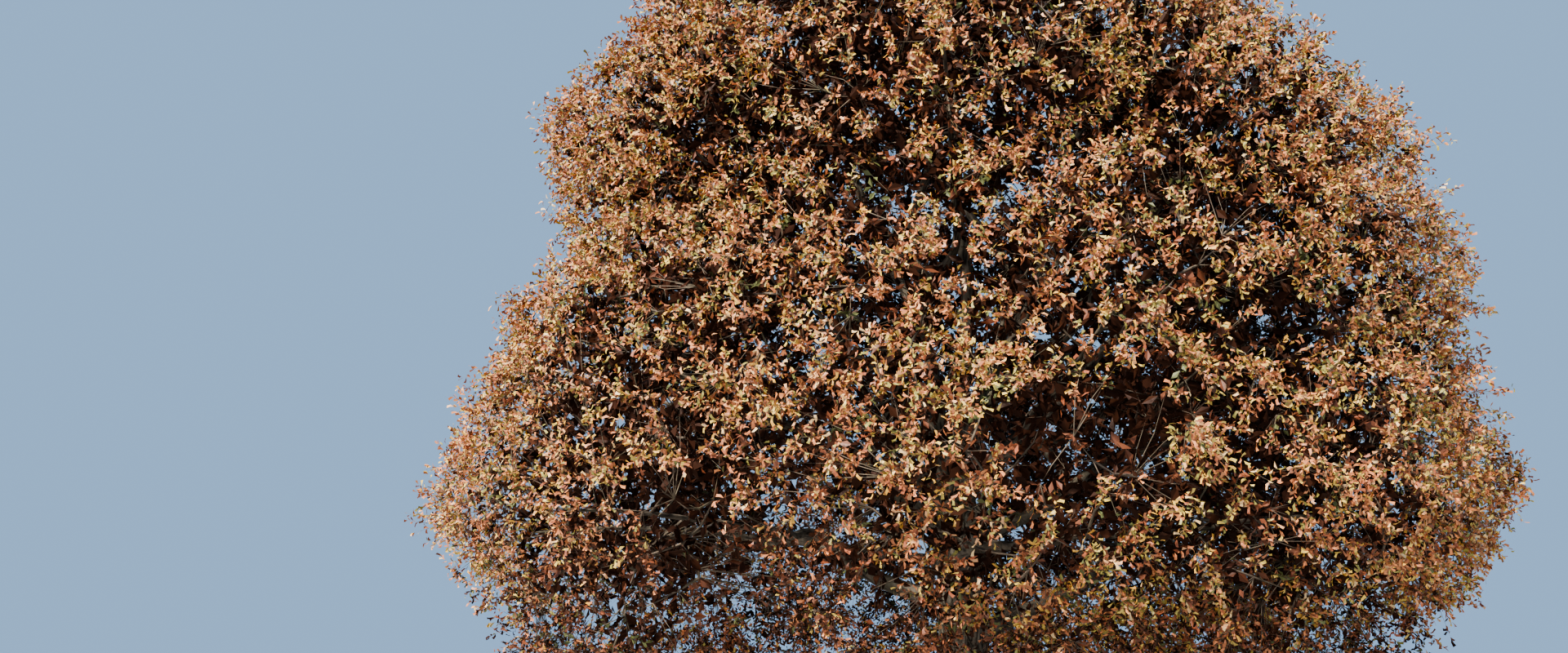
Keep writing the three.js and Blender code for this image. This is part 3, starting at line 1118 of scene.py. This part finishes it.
@dataclass
class Crown:
    """The masses' spaces taken together, whose surfaces run into each other where they meet."""

    spaces: list[Space]
    lean: Pair
    blend: float = 4.0
    swell: float = 1.1  # how much wider the masses are taken, so that the clefts between them fill
    unit_depth: float = 2.8  # metres that count as one outside the outline
    outline: tuple[Triple, ...] = (  # half widths to the left and the right at each height
        (1.5, 7.7, 6.9), (2.2, 8.0, 7.5), (2.9, 8.4, 8.2), (3.6, 8.9, 8.8), (4.3, 9.5, 9.35),
        (5.2, 9.4, 9.2), (6.2, 9.0, 8.7), (7.4, 8.6, 8.6), (8.5, 7.9, 8.7), (9.0, 7.4, 8.3),
        (9.5, 7.6, 8.0), (10.2, 7.9, 8.1), (11.4, 7.9, 7.4), (12.2, 7.4, 6.6), (12.7, 7.1, 5.8),
        (13.4, 6.8, 5.3), (14.1, 6.3, 5.0), (14.6, 6.0, 4.1), (15.2, 5.6, 3.8), (16.2, 4.7, 3.5),
        (17.2, 3.2, 2.8), (18.2, 1.4, 1.4),
    )
    lowest: float = 1.65
    skirt_height: float = 4.2  # below which the foliage hangs lower than the masses' ellipsoids
    skirt_droop: float = 0.8
    lumps: tuple[Pair, ...] = ((2.3, 0.2), (1.1, 0.26), (0.5, 0.18))  # sizes and strengths
    heart: Points = field(default_factory=lambda: np.array([0.35, -0.1, 8.4]))
    grain: Grain = field(default_factory=lambda: Grain(LUMP_SEED))

    def depth(self, points: Points) -> Points:
        """Say how far out points lie in the crown, 1 being its surface.

        Args:
            points: Places, one to a row.

        Returns:
            A depth for each point.
        """
        raised = points.copy()
        below = np.minimum(points[..., 2] - self.skirt_height, 0)
        raised[..., 2] -= below * (1 - self.skirt_droop)
        depths = (space.depth(raised) for space in self.spaces)
        held = sum(np.exp(self.blend * (1 - depth / self.swell)) for depth in depths)
        offset = points[..., :2] - points[..., 2:] * np.array(self.lean)
        out = np.linalg.norm(offset, axis=-1)
        heights, lefts, rights = np.array(self.outline).T
        left, right = (np.interp(points[..., 2], heights, widths) for widths in (lefts, rights))
        width = mix(left, right, 0.5 + 0.5 * offset[..., 0] / np.maximum(out, LEAST_LENGTH))
        return np.maximum(1 - np.log(held) / self.blend, 1 + (out - width) / self.unit_depth)

    def hollow(self, points: Points, inside: bool = False) -> Flags:
        """Say which points lie in a hollow.

        Args:
            points: Places, one to a row.
            inside: Whether only the hollows count that show sky, for what grows inside the crown.

        Returns:
            True for each point in such a hollow.
        """
        counted = [hollow for hollow in HOLLOWS if hollow.through or not inside]
        return np.any([hollow.holds(points) for hollow in counted], axis=0)

    def outness(self, points: Points, centre: Points) -> Points:
        """Say how far points face away from the crown's heart, from -1 to 1, seen from a centre."""
        return (unit(points - centre) * unit(points - self.heart)).sum(axis=-1)

    def ragged_depth(self, points: Points) -> Points:
        """Say how far out points lie below an uneven surface.

        Args:
            points: Places, one to a row.

        Returns:
            A depth for each point.
        """
        return self.depth(points) + sum(
            strength * self.grain.at(points / size + size) for size, strength in self.lumps
        )


class Mood(Enum):
    """What a spray's place in the crown makes of its tint: the share of each tint, in order.
    SHADED, INMOST and the underside mood hold darker tints that paint shade inside the crown and
    under it.
    """

    #         TAN   SAND  COPP  CINN  RUSS  RUST  CHES  UMBE  AMBE  OCHR  OLIV  MOSS
    SUNNED = (0.11, 0.06, 0.13, 0.15, 0.16, 0.11, 0.05, 0.00, 0.09, 0.09, 0.06, 0.01)
    GOLDEN = (0.00, 0.08, 0.08, 0.08, 0.09, 0.07, 0.04, 0.00, 0.15, 0.18, 0.20, 0.08)
    # painted shade: dark tints for the sprays low on the crown's left side
    DUSKY = (0.00, 0.00, 0.04, 0.06, 0.07, 0.08, 0.19, 0.47, 0.02, 0.03, 0.02, 0.02)
    # painted shade: darker tints for the leaves inside the crown, near black in its heart
    SHADED = (0.00, 0.00, 0.00, 0.00, 0.00, 0.14, 0.46, 0.32, 0.00, 0.00, 0.00, 0.08)
    INMOST = (0.00, 0.00, 0.00, 0.00, 0.00, 0.00, 0.08, 0.92, 0.00, 0.00, 0.00, 0.00)

    @property
    def number(self) -> int:
        """Give the mood's place in their order."""
        return list(Mood).index(self)


@dataclass(frozen=True)
class Spray:
    """How the leaves stand on one kind of shoot."""

    leaves: int
    run: float  # how far down the shoot they start
    leaf_length: Pair
    loose: float  # how much their directions stray
    reach: float = 0.97  # how far out in the crown their tips may lie
    inside: bool = True  # whether they grow inside the crown
    turn_stray: float = 0.9
    back_stray: float = 0.1
    splay: float = 0.45  # the angle from the shoot's way at its tip
    splay_back: float = 0.7  # by how much it opens down the shoot
    splay_stray: Pair = (-0.4, 0.5)
    hang: float = 0.1  # how much the leaves' directions turn down
    look_out: float = 0.7  # how much their upper faces look the shoot's way
    look_up: float = 0.35  # and up
    look_stray: float = 0.6  # and astray


@dataclass(frozen=True)
class ShadedLayer:
    """A layer of leaves inside the crown, under the leafy surface, whose darker tints paint the
    shade there.
    """

    mood: Mood
    tries: int  # how many places are tried
    layer: Triple  # where it starts, is full and ends, 1 being the surface
    spray: Spray


@dataclass
class FoliageMass:
    """One mass: branches from its stem, twigs from them, then shoots with their leaves."""

    bough: Bough
    crown: Crown
    limb_points: Points
    limb_radii: Points
    open_grain: Grain
    rng: np.random.Generator
    branches: int = 24
    branch_ends: Pair = (0.985, -0.6)  # how straight outward the first and last branch point
    branch_depth: Pair = (0.5, 0.78)
    branch_outmost: float = 0.84  # how far out in the crown they may end
    branch_margin: float = 0.25  # how far they keep from the neighbours' planes
    branch_sag: float = 0.03  # of their length
    crook: float = 0.07  # how much branches and twigs bend, as a share of their length
    span: float = 1.6  # how far from the middle tips are looked for
    twig_tries: int = 4000
    twig_layer: Triple = (0.58, 0.82, 0.89)
    tuft_tries: int = 17200
    tuft_layer: Triple = (0.78, 0.92, 0.975)
    tuft_outness: float = -0.1  # how far tufts face outward at least, so none grow inside
    tuft_spread: float = 0.2
    tuft_shoots: int = 3
    longest_shoot: float = 1.1
    shoot_reach: float = 1.15  # how far out in the crown shoots may end
    shoot_pull: float = 0.7  # how much a shoot's own way counts in how it faces
    sprig_reach: float = 0.02  # how far, on average, tips stand out of the surface
    open_size: float = 1.5  # of the openings that are left by chance
    open_level: float = -0.4
    open_behind: float = -3.5  # the camera's side has the hollows that the photo shows instead
    open_under: float = 11.0
    high_share: float = 1.4  # how many times as many shaded shoots the high masses have
    high_above: float = 9.0
    low_side: float = 0.25  # how far growth may pass the solids' box at its low corner
    high_side: float = 0.2  # and at its high one
    limb_range: float = 4.2  # how far from the middle limbs are kept clear
    limb_gap: float = 0.02  # how far off they are kept
    outer_spray: Spray = Spray(8, 0.3, (0.072, 0.12), 0.35, reach=1.2, inside=False)
    shaded_layers: tuple[ShadedLayer, ...] = (
        ShadedLayer(Mood.SHADED, 4600, (0.6, 0.72, 0.88), Spray(8, 0.35, (0.1, 0.155), 0.7)),
        ShadedLayer(Mood.INMOST, 4000, (0.25, 0.4, 0.68), Spray(7, 0.4, (0.19, 0.28), 0.9)),
    )

    EVEN_STEPS = np.array([0.8191725134, 0.6710436067, 0.5497004779])  # fill a cube evenly

    @property
    def space(self) -> Space:
        """Give the space that the mass keeps to."""
        return self.bough.space

    def spiral(self) -> Points:
        """Give directions on a spiral round the outward axis, as shares of the three halves.

        Returns:
            A direction for each branch.
        """
        outward = np.linspace(*self.branch_ends, self.branches)
        level = np.sqrt(1 - outward**2)
        turn = np.arange(self.branches) * GOLDEN_ANGLE + self.space.index
        return np.stack([outward, level * np.cos(turn), level * np.sin(turn)], axis=-1)

    def branch_paths(self) -> Points:
        """Join each branch's tip to the nearest point so far, by a bent path of four points.

        Returns:
            The branches' paths.
        """
        depths = self.rng.uniform(*self.branch_depth, (self.branches, 1))
        tips = self.space.place(self.spiral() * depths)
        kept = self.space.holds(tips, self.branch_margin)
        tips = tips[kept & (self.crown.depth(tips) < self.branch_outmost)]
        foot = self.bough.stem.places([0])[0]
        nodes = list(self.bough.stem.places([0.2, 0.4, 0.6, 0.8, 1.0]))
        steps = np.linspace(0, 1, 4)[:, None]
        paths = []
        for tip in tips[np.argsort(np.linalg.norm(tips - foot, axis=1))]:
            start = min(nodes, key=lambda node: float(np.linalg.norm(node - tip)))
            length = float(np.linalg.norm(tip - start))
            bend = self.rng.normal(size=3) * self.crook * length - UP * self.branch_sag * length
            paths.append(start + (tip - start) * steps + bend * np.sin(np.pi * steps))
            nodes.extend(paths[-1][1:])
        return np.array(paths)

    def scatter(self, tries: int, layer: Triple, inside: bool = False) -> Points:
        """Scatter tips evenly through a layer under the crown's surface, in the mass's own space.

        Args:
            tries: How many places are tried.
            layer: Where the layer starts, is full and ends, 1 being the surface.
            inside: Whether they are of what grows inside the crown.

        Returns:
            The tips, without those in a hollow.
        """
        steps = np.arange(1, tries + 1)[:, None] * self.EVEN_STEPS
        spread = (steps + self.rng.uniform(size=3)) % 1
        tips = self.space.place((2 * spread - 1) * self.span)
        low, full, high = layer
        out = self.crown.ragged_depth(tips)
        kept = out < high + (0 if inside else self.rng.exponential(self.sprig_reach, tries))
        kept &= out > low + (full - low) * self.rng.uniform(size=tries)
        tips = tips[kept]
        kept = self.space.holds(tips) & (tips[:, 2] > self.crown.lowest)
        open_here = self.open_grain.at(tips / self.open_size) < self.open_level
        open_here &= (tips[:, 1] > self.open_behind) & (tips[:, 2] < self.open_under)
        return tips[kept & ~open_here & ~self.crown.hollow(tips, inside)]

    def twig_paths(self, branches: Points) -> Points:
        """Join each twig's tip to the nearest point of the branches.

        Args:
            branches: The branches' paths.

        Returns:
            The twigs' paths.
        """
        tips = self.scatter(self.twig_tries, self.twig_layer)
        nodes = [branches[:, 1:].reshape(-1, 3), self.bough.stem.places([0.5, 1.0])]
        starts, _ = nearest(tips, np.concatenate(nodes))
        length = np.linalg.norm(tips - starts, axis=1, keepdims=True)
        middles = (starts + tips) / 2 + self.rng.normal(size=tips.shape) * self.crook * length
        return np.stack([starts, middles, tips], axis=1)

    def shoot_paths(self, twigs: Points) -> tuple[Points, Points]:
        """Join the shoots of each tuft to the nearest point of the twigs.

        Args:
            twigs: The twigs' paths.

        Returns:
            The shoots' paths, and the way that each one faces.
        """
        tufts = self.scatter(self.tuft_tries, self.tuft_layer)
        tufts = tufts[self.crown.outness(tufts, self.space.centre) > self.tuft_outness]
        nodes = np.concatenate([twigs[:, 1], (twigs[:, 1] + twigs[:, 2]) / 2, twigs[:, 2]])
        starts, gaps = nearest(tufts, nodes)
        kept = gaps < self.longest_shoot
        tufts, starts = (np.repeat(row[kept], self.tuft_shoots, axis=0) for row in (tufts, starts))
        tips = tufts + self.rng.normal(size=starts.shape) * self.tuft_spread / math.sqrt(3)
        kept = self.clear(tips, self.shoot_reach)
        tips, starts = tips[kept], starts[kept]
        facing = unit(tips - self.space.centre) + unit(tips - self.crown.heart)
        facing = unit(facing + self.shoot_pull * unit(tips - starts))
        return np.stack([starts, tips], axis=1), facing

    def inner_paths(self, shaded: ShadedLayer, paths: Sequence[Points]) -> tuple[Points, Points]:
        """Join shoots inside the crown to the nearest point of the branches and twigs.

        Args:
            shaded: The layer that they fill.
            paths: The branches' paths, and the twigs'.

        Returns:
            The shoots' paths, and the way that each one faces.
        """
        share = self.high_share if self.space.centre[2] > self.high_above else 1.0
        tips = self.scatter(round(shaded.tries * share), shaded.layer, inside=True)
        tips = tips[self.clear(tips, shaded.spray.reach, inside=True)]
        starts, _ = nearest(tips, np.concatenate([path[:, 1:].reshape(-1, 3) for path in paths]))
        return np.stack([starts, tips], axis=1), unit(self.rng.normal(size=tips.shape))

    def clear(self, points: Points, reach: float, inside: bool = False) -> Flags:
        """Say which points lie in the space, in the solids' reach and off every limb.

        Args:
            points: Places, one to a row.
            reach: How far out in the crown they may lie.
            inside: Whether they are of what grows inside the crown.

        Returns:
            True for each point that may be used.
        """
        kept = self.space.holds(points) & (self.crown.ragged_depth(points) < reach)
        kept &= ~self.crown.hollow(points, inside)
        low, high = (np.array(corner) for corner in CAD_BOX)
        kept &= ((points > low - self.low_side) & (points < high + self.high_side)).all(axis=1)
        kept &= points[:, 2] > self.crown.lowest
        near = np.linalg.norm(self.limb_points - self.space.centre, axis=1) < self.limb_range
        for place, radius in zip(self.limb_points[near], self.limb_radii[near]):
            kept &= np.linalg.norm(points - place, axis=1) > radius + self.limb_gap
        return kept

    def sprays(
        self, shoots: Points, facing: Points, spray: Spray
    ) -> tuple[list[Points], Whole, Flags]:
        """Set leaves round the end of each shoot.

        Args:
            shoots: The shoots' paths.
            facing: The way that each one faces.
            spray: How the leaves stand.

        Returns:
            The leaves' roots, directions, upper faces and lengths, the shoot of each, and whether
            its tip is clear.
        """
        count, rng = len(shoots), self.rng
        stems = unit(shoots[:, 1] - shoots[:, 0])
        growth = unit(stems + facing)
        across = square_to(rng.normal(size=growth.shape), growth)
        beside = np.cross(growth, across)
        turn = rng.uniform(0, spray.turn_stray, (count, spray.leaves))
        turn = np.arange(spray.leaves) * GOLDEN_ANGLE + turn
        back = rng.uniform(-spray.back_stray, spray.back_stray, turn.shape)
        back = np.clip(np.linspace(0, 1, spray.leaves) + back, 0, 1)
        splay = spray.splay + spray.splay_back * back + rng.uniform(*spray.splay_stray, turn.shape)
        turn, splay = turn[..., None], splay[..., None]
        spokes = np.cos(turn) * across[:, None, :] + np.sin(turn) * beside[:, None, :]
        ways = growth[:, None, :] * np.cos(splay) + spokes * np.sin(splay)
        alongs = unit(ways + rng.normal(size=ways.shape) * spray.loose - UP * spray.hang)
        roots = shoots[:, None, 1] - stems[:, None, :] * (back * spray.run)[:, :, None]
        looks = facing[:, None, :] * spray.look_out + UP * spray.look_up
        looks = looks + rng.normal(size=alongs.shape) * spray.look_stray
        lengths = rng.uniform(*spray.leaf_length, back.shape).ravel()
        roots, alongs, looks = (rows.reshape(-1, 3) for rows in (roots, alongs, looks))
        kept = self.clear(roots + alongs * lengths[:, None], spray.reach, spray.inside)
        return [roots, alongs, looks, lengths], np.repeat(np.arange(count), spray.leaves), kept


@dataclass
class Foliage:
    """All the masses of foliage, gathered into one piece of twigs and one piece for each tint."""

    limbs: Limbs
    stray_share: float = 0.4  # leaves that turn another tint than their spray
    branch_radii: tuple[float, ...] = (0.026, 0.02, 0.014, 0.008)
    twig_radii: tuple[float, ...] = (0.01, 0.007, 0.003)
    shoot_radii: tuple[float, ...] = (0.0045, 0.0)
    patch_size: float = 1.9
    patch_strength: float = 1.4
    golden_under: float = 0.84  # the depth under which sprays lean to the golden mood
    golden_strength: float = 2.2
    golden_level: float = 0.05
    golden_stray: float = 0.25
    underside_shade_below: tuple[Pair, ...] = (  # heights across the crown, under which sprays get darker tints that paint shade
        (-8.5, 2.8), (-6.0, 3.3), (-4.5, 3.6), (-1.5, 3.5), (0.0, 2.4),
    )
    underside_shade_stray: float = 0.35
    leaves: dict[tuple[Tint, LeafForm], Leaves] = field(default_factory=dict)
    twigs: MeshStore = field(default_factory=MeshStore)

    def _deal(self, moods: Whole, rng: np.random.Generator) -> Whole:
        """Deal a tint to each spray.

        Args:
            moods: The number of each spray's mood.
            rng: Deals them out.

        Returns:
            The number of each spray's tint.
        """
        dealt = np.zeros(len(moods), dtype=int)
        for mood in Mood:
            weights = np.array(mood.value)
            rows = moods == mood.number
            dealt[rows] = rng.choice(len(weights), rows.sum(), p=weights / weights.sum())
        return dealt

    def _moods(self, mass: FoliageMass, tips: Points, patches: Grain) -> Whole:
        """Choose each spray's mood, in patches and by how deep it lies.

        Args:
            mass: The mass that the sprays grow on.
            tips: Where they are.
            patches: The noise of the patches.

        Returns:
            The number of each spray's mood.
        """
        golden = patches.at(tips / self.patch_size) * self.patch_strength
        golden = golden + (self.golden_under - mass.crown.depth(tips)) * self.golden_strength
        golden = golden + mass.rng.normal(size=len(tips)) * self.golden_stray
        moods = np.where(golden > self.golden_level, Mood.GOLDEN.number, Mood.SUNNED.number)
        # sprays low on the crown's left side take darker tints, a painted shade
        underside_shade_height = np.interp(tips[:, 0], *np.array(self.underside_shade_below).T)
        low = tips[:, 2] + mass.rng.normal(size=len(tips)) * self.underside_shade_stray < underside_shade_height
        return np.where(low, Mood.DUSKY.number, moods)

    def _keep(self, rows: Sequence[Points], tints: Whole, kept: Flags, form: LeafForm) -> None:
        """Put the leaves that are kept with the others of their tint and form.

        Args:
            rows: The leaves' roots, directions, upper faces and lengths.
            tints: The number of each leaf's tint.
            kept: Which leaves are kept.
            form: Their outline.
        """
        for number, tint in enumerate(Tint):
            chosen = kept & (tints == number)
            if chosen.any():
                leaves = self.leaves.setdefault((tint, form), Leaves())
                leaves.rows.append([row[chosen] for row in rows])

    def _surface(self, mass: FoliageMass, twigs: Points, patches: Grain) -> None:
        """Grow the leafy surface of a mass.

        Args:
            mass: The mass.
            twigs: Its twigs' paths.
            patches: The noise that its sprays' moods lie in.
        """
        shoots, facing = mass.shoot_paths(twigs)
        add_twigs(self.twigs, shoots, self.shoot_radii)
        moods = self._moods(mass, shoots[:, 1], patches)
        rows, owners, kept = mass.sprays(shoots, facing, mass.outer_spray)
        even = np.tile(np.arange(mass.outer_spray.leaves) % 2 == 0, len(shoots))
        for half, form in ((even, LeafForm.LOBED_LEFT), (~even, LeafForm.LOBED_RIGHT)):
            tints = self._deal(moods, mass.rng)[owners]
            strays = mass.rng.uniform(size=len(tints)) < self.stray_share
            tints[strays] = self._deal(moods[owners[strays]], mass.rng)
            self._keep(rows, tints, kept & half, form)

    def _inside(self, mass: FoliageMass, shaded: ShadedLayer, paths: Sequence[Points]) -> None:
        """Grow a layer of leaves inside a mass.

        Args:
            mass: The mass.
            shaded: The layer.
            paths: The paths of the mass's branches, and its twigs'.
        """
        shoots, facing = mass.inner_paths(shaded, paths)
        add_twigs(self.twigs, shoots, self.shoot_radii)
        rows, owners, kept = mass.sprays(shoots, facing, shaded.spray)
        # the layer's mood deals darker tints, a painted shade inside the crown
        tints = self._deal(np.full(len(shoots), shaded.mood.number), mass.rng)[owners]
        self._keep(rows, tints, kept, LeafForm.PLAIN)

    def grow(self) -> None:
        """Grow every mass."""
        limb_points, limb_radii = self.limbs.samples()
        patches, openings = Grain(PATCH_SEED), Grain(OPENING_SEED)
        crown = Crown(self.limbs.spaces, self.limbs.trunk.lean)
        for number, bough in enumerate(self.limbs.boughs):
            rng = np.random.default_rng(SEED + MASS_SEED_STEP * number)
            mass = FoliageMass(bough, crown, limb_points, limb_radii, openings, rng)
            branches = mass.branch_paths()
            twigs = mass.twig_paths(branches)
            add_twigs(self.twigs, branches, self.branch_radii)
            add_twigs(self.twigs, twigs, self.twig_radii)
            self._surface(mass, twigs, patches)
            for shaded in mass.shaded_layers:
                self._inside(mass, shaded, (branches, twigs))

    def build(self, bark: BarkFinish) -> list[bpy.types.Object]:
        """Build the twigs' piece and a piece of leaves for each tint.

        Args:
            bark: The twigs' finish.

        Returns:
            The pieces.
        """
        nodes = [f"foliage_{bough.space.label}" for bough in self.limbs.boughs]
        twigs = self.twigs.piece("twigs_bark", bark.material(), bark.mark_name)
        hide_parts(*nodes)
        pieces = [dress(twigs, self.twigs)]
        for number, tint in enumerate(Tint):
            rng = np.random.default_rng(SEED + TINT_SEED_STEP * number)
            store = MeshStore()
            for form in LeafForm:
                self.leaves.get((tint, form), Leaves()).join(store, form, rng)
            piece = store.piece(f"leaves_{tint.label}", LeafFinish(tint).material(), smooth=False)
            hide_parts(*nodes)
            pieces.append(dress(piece, store))
        return pieces


def dress(piece: bpy.types.Object, store: MeshStore) -> bpy.types.Object:
    """Set a piece on the tree and report it.

    Args:
        piece: The new piece.
        store: The mesh that it was made from.

    Returns:
        The piece.
    """
    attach(piece, BODY)
    LOG.info("%s: %d triangles", piece.name, store.triangles())
    return piece


@dataclass(frozen=True)
class CrownPlan:
    """How unevenly the masses stand in their rings, as the solids have them."""

    azimuth_spread: float = 0.09
    distance_spread: float = 0.2
    height_spread: float = 0.26
    size_spread: float = 0.06

    def spaces(self, trunk: Trunk) -> list[Space]:
        """Lay out the masses' spaces, ring by ring.

        Args:
            trunk: The trunk, whose lean the crown follows.

        Returns:
            The spaces, each knowing its neighbours.
        """
        draw = SeededDraw(SEED)
        spaces = []
        places = [(ring, index) for ring in RINGS for index in range(ring.count)]
        for ring, index in places:
            azimuth = 2 * math.pi * index / ring.count + ring.phase
            azimuth += draw.spread(self.azimuth_spread)
            distance = ring.distance
            if distance:
                distance += draw.spread(self.distance_spread)
            height = ring.height + draw.spread(self.height_spread)
            half = np.array(ring.half) * (1 + draw.spread(self.size_spread))
            outward = outward_at(azimuth, ring.tilt)
            sideways = outward_at(azimuth + math.pi / 2, 0)
            axes = np.array([outward, sideways, np.cross(outward, sideways)])
            lean = np.array([*trunk.lean, 1.0]) * height
            centre = outward_at(azimuth, 0) * distance + lean
            spaces.append(Space(ring, index, azimuth, centre, axes, half))
        for space in spaces:
            space.neighbours = [other for other in spaces if other is not space]
        return spaces


@dataclass
class Studio:
    """The pale floor, the light and the camera."""

    camera_distance: float = 28.3
    eye_height: float = 1.6
    turn_left: float = math.radians(6.18)
    tilt_up: float = math.radians(13.0)
    lens: float = 35.3
    sensor_width: float = 36.0
    sight: float = 1000.0
    floor_radius: float = 600.0
    floor_corners: int = 96
    floor_colour: Triple = (0.46, 0.455, 0.44)
    floor_roughness: float = 0.9
    sun_azimuth: float = math.radians(-38.0)  # from the viewer's side, to the left
    sun_rise: float = math.radians(40.0)
    sun_strength: float = 9.6
    sun_size: float = math.radians(3.0)
    sun_colour: Triple = (1.0, 0.94, 0.87)
    sky: Triple = (0.40, 0.62, 0.92)
    sky_strength: float = 0.76
    look: str = "AgX - Medium High Contrast"

    def camera(self) -> None:
        """Set the camera at the photo's viewing angle."""
        data = bpy.data.cameras.new("view")
        data.lens = self.lens
        data.sensor_width = self.sensor_width
        data.clip_end = self.sight
        view = link("view", data)
        view.location = (0.0, -self.camera_distance, self.eye_height)
        view.rotation_euler = (math.pi / 2 + self.tilt_up, 0.0, self.turn_left)
        bpy.context.scene.camera = view

    def light(self) -> None:
        """Set a soft key from the viewer's left and a pale even surround."""
        data = bpy.data.lights.new("key", "SUN")
        data.energy = self.sun_strength
        data.angle = self.sun_size
        data.color = self.sun_colour
        key = link("key", data)
        key.rotation_euler = (math.pi / 2 - self.sun_rise, 0.0, self.sun_azimuth)
        world = bpy.data.worlds.new("surround")
        world.use_nodes = True
        background = world.node_tree.nodes["Background"]
        background.inputs["Color"].default_value = (*self.sky, 1.0)
        background.inputs["Strength"].default_value = self.sky_strength
        bpy.context.scene.world = world
        bpy.context.scene.view_settings.look = self.look

    def floor(self) -> None:
        """Lay the pale floor."""
        turns = full_turn(self.floor_corners)
        circle = np.column_stack([np.cos(turns), np.sin(turns), np.zeros_like(turns)])
        corners = (circle * self.floor_radius).tolist()
        mesh = bpy.data.meshes.new("floor")
        mesh.from_pydata(corners, [], [tuple(range(self.floor_corners))])
        made = NodeWork("pale_floor")
        colour = (*self.floor_colour, 1.0)
        made.feed(made.shader, Base_Color=colour, Roughness=self.floor_roughness)
        mesh.materials.append(made.material)
        floor = link("floor", mesh)


def main() -> None:
    """Build the tree and its studio, in order."""
    logging.basicConfig(level=logging.INFO, format="%(name)s: %(message)s")
    studio = Studio()
    studio.camera()
    studio.light()
    studio.floor()
    trunk = Trunk()
    trunk.build(BarkFinish("trunk_bark"))
    limbs = Limbs(trunk, CrownPlan().spaces(trunk))
    limbs.grow()
    limbs.build(BarkFinish("bough_bark", algae_share=0.45))
    foliage = Foliage(limbs)
    foliage.grow()
    foliage.build(BarkFinish("twig_bark", ridge=(0.12, 0.09, 0.065), ridge_pale=(0.2, 0.16, 0.12)))


if __name__ == "__main__":
    main()
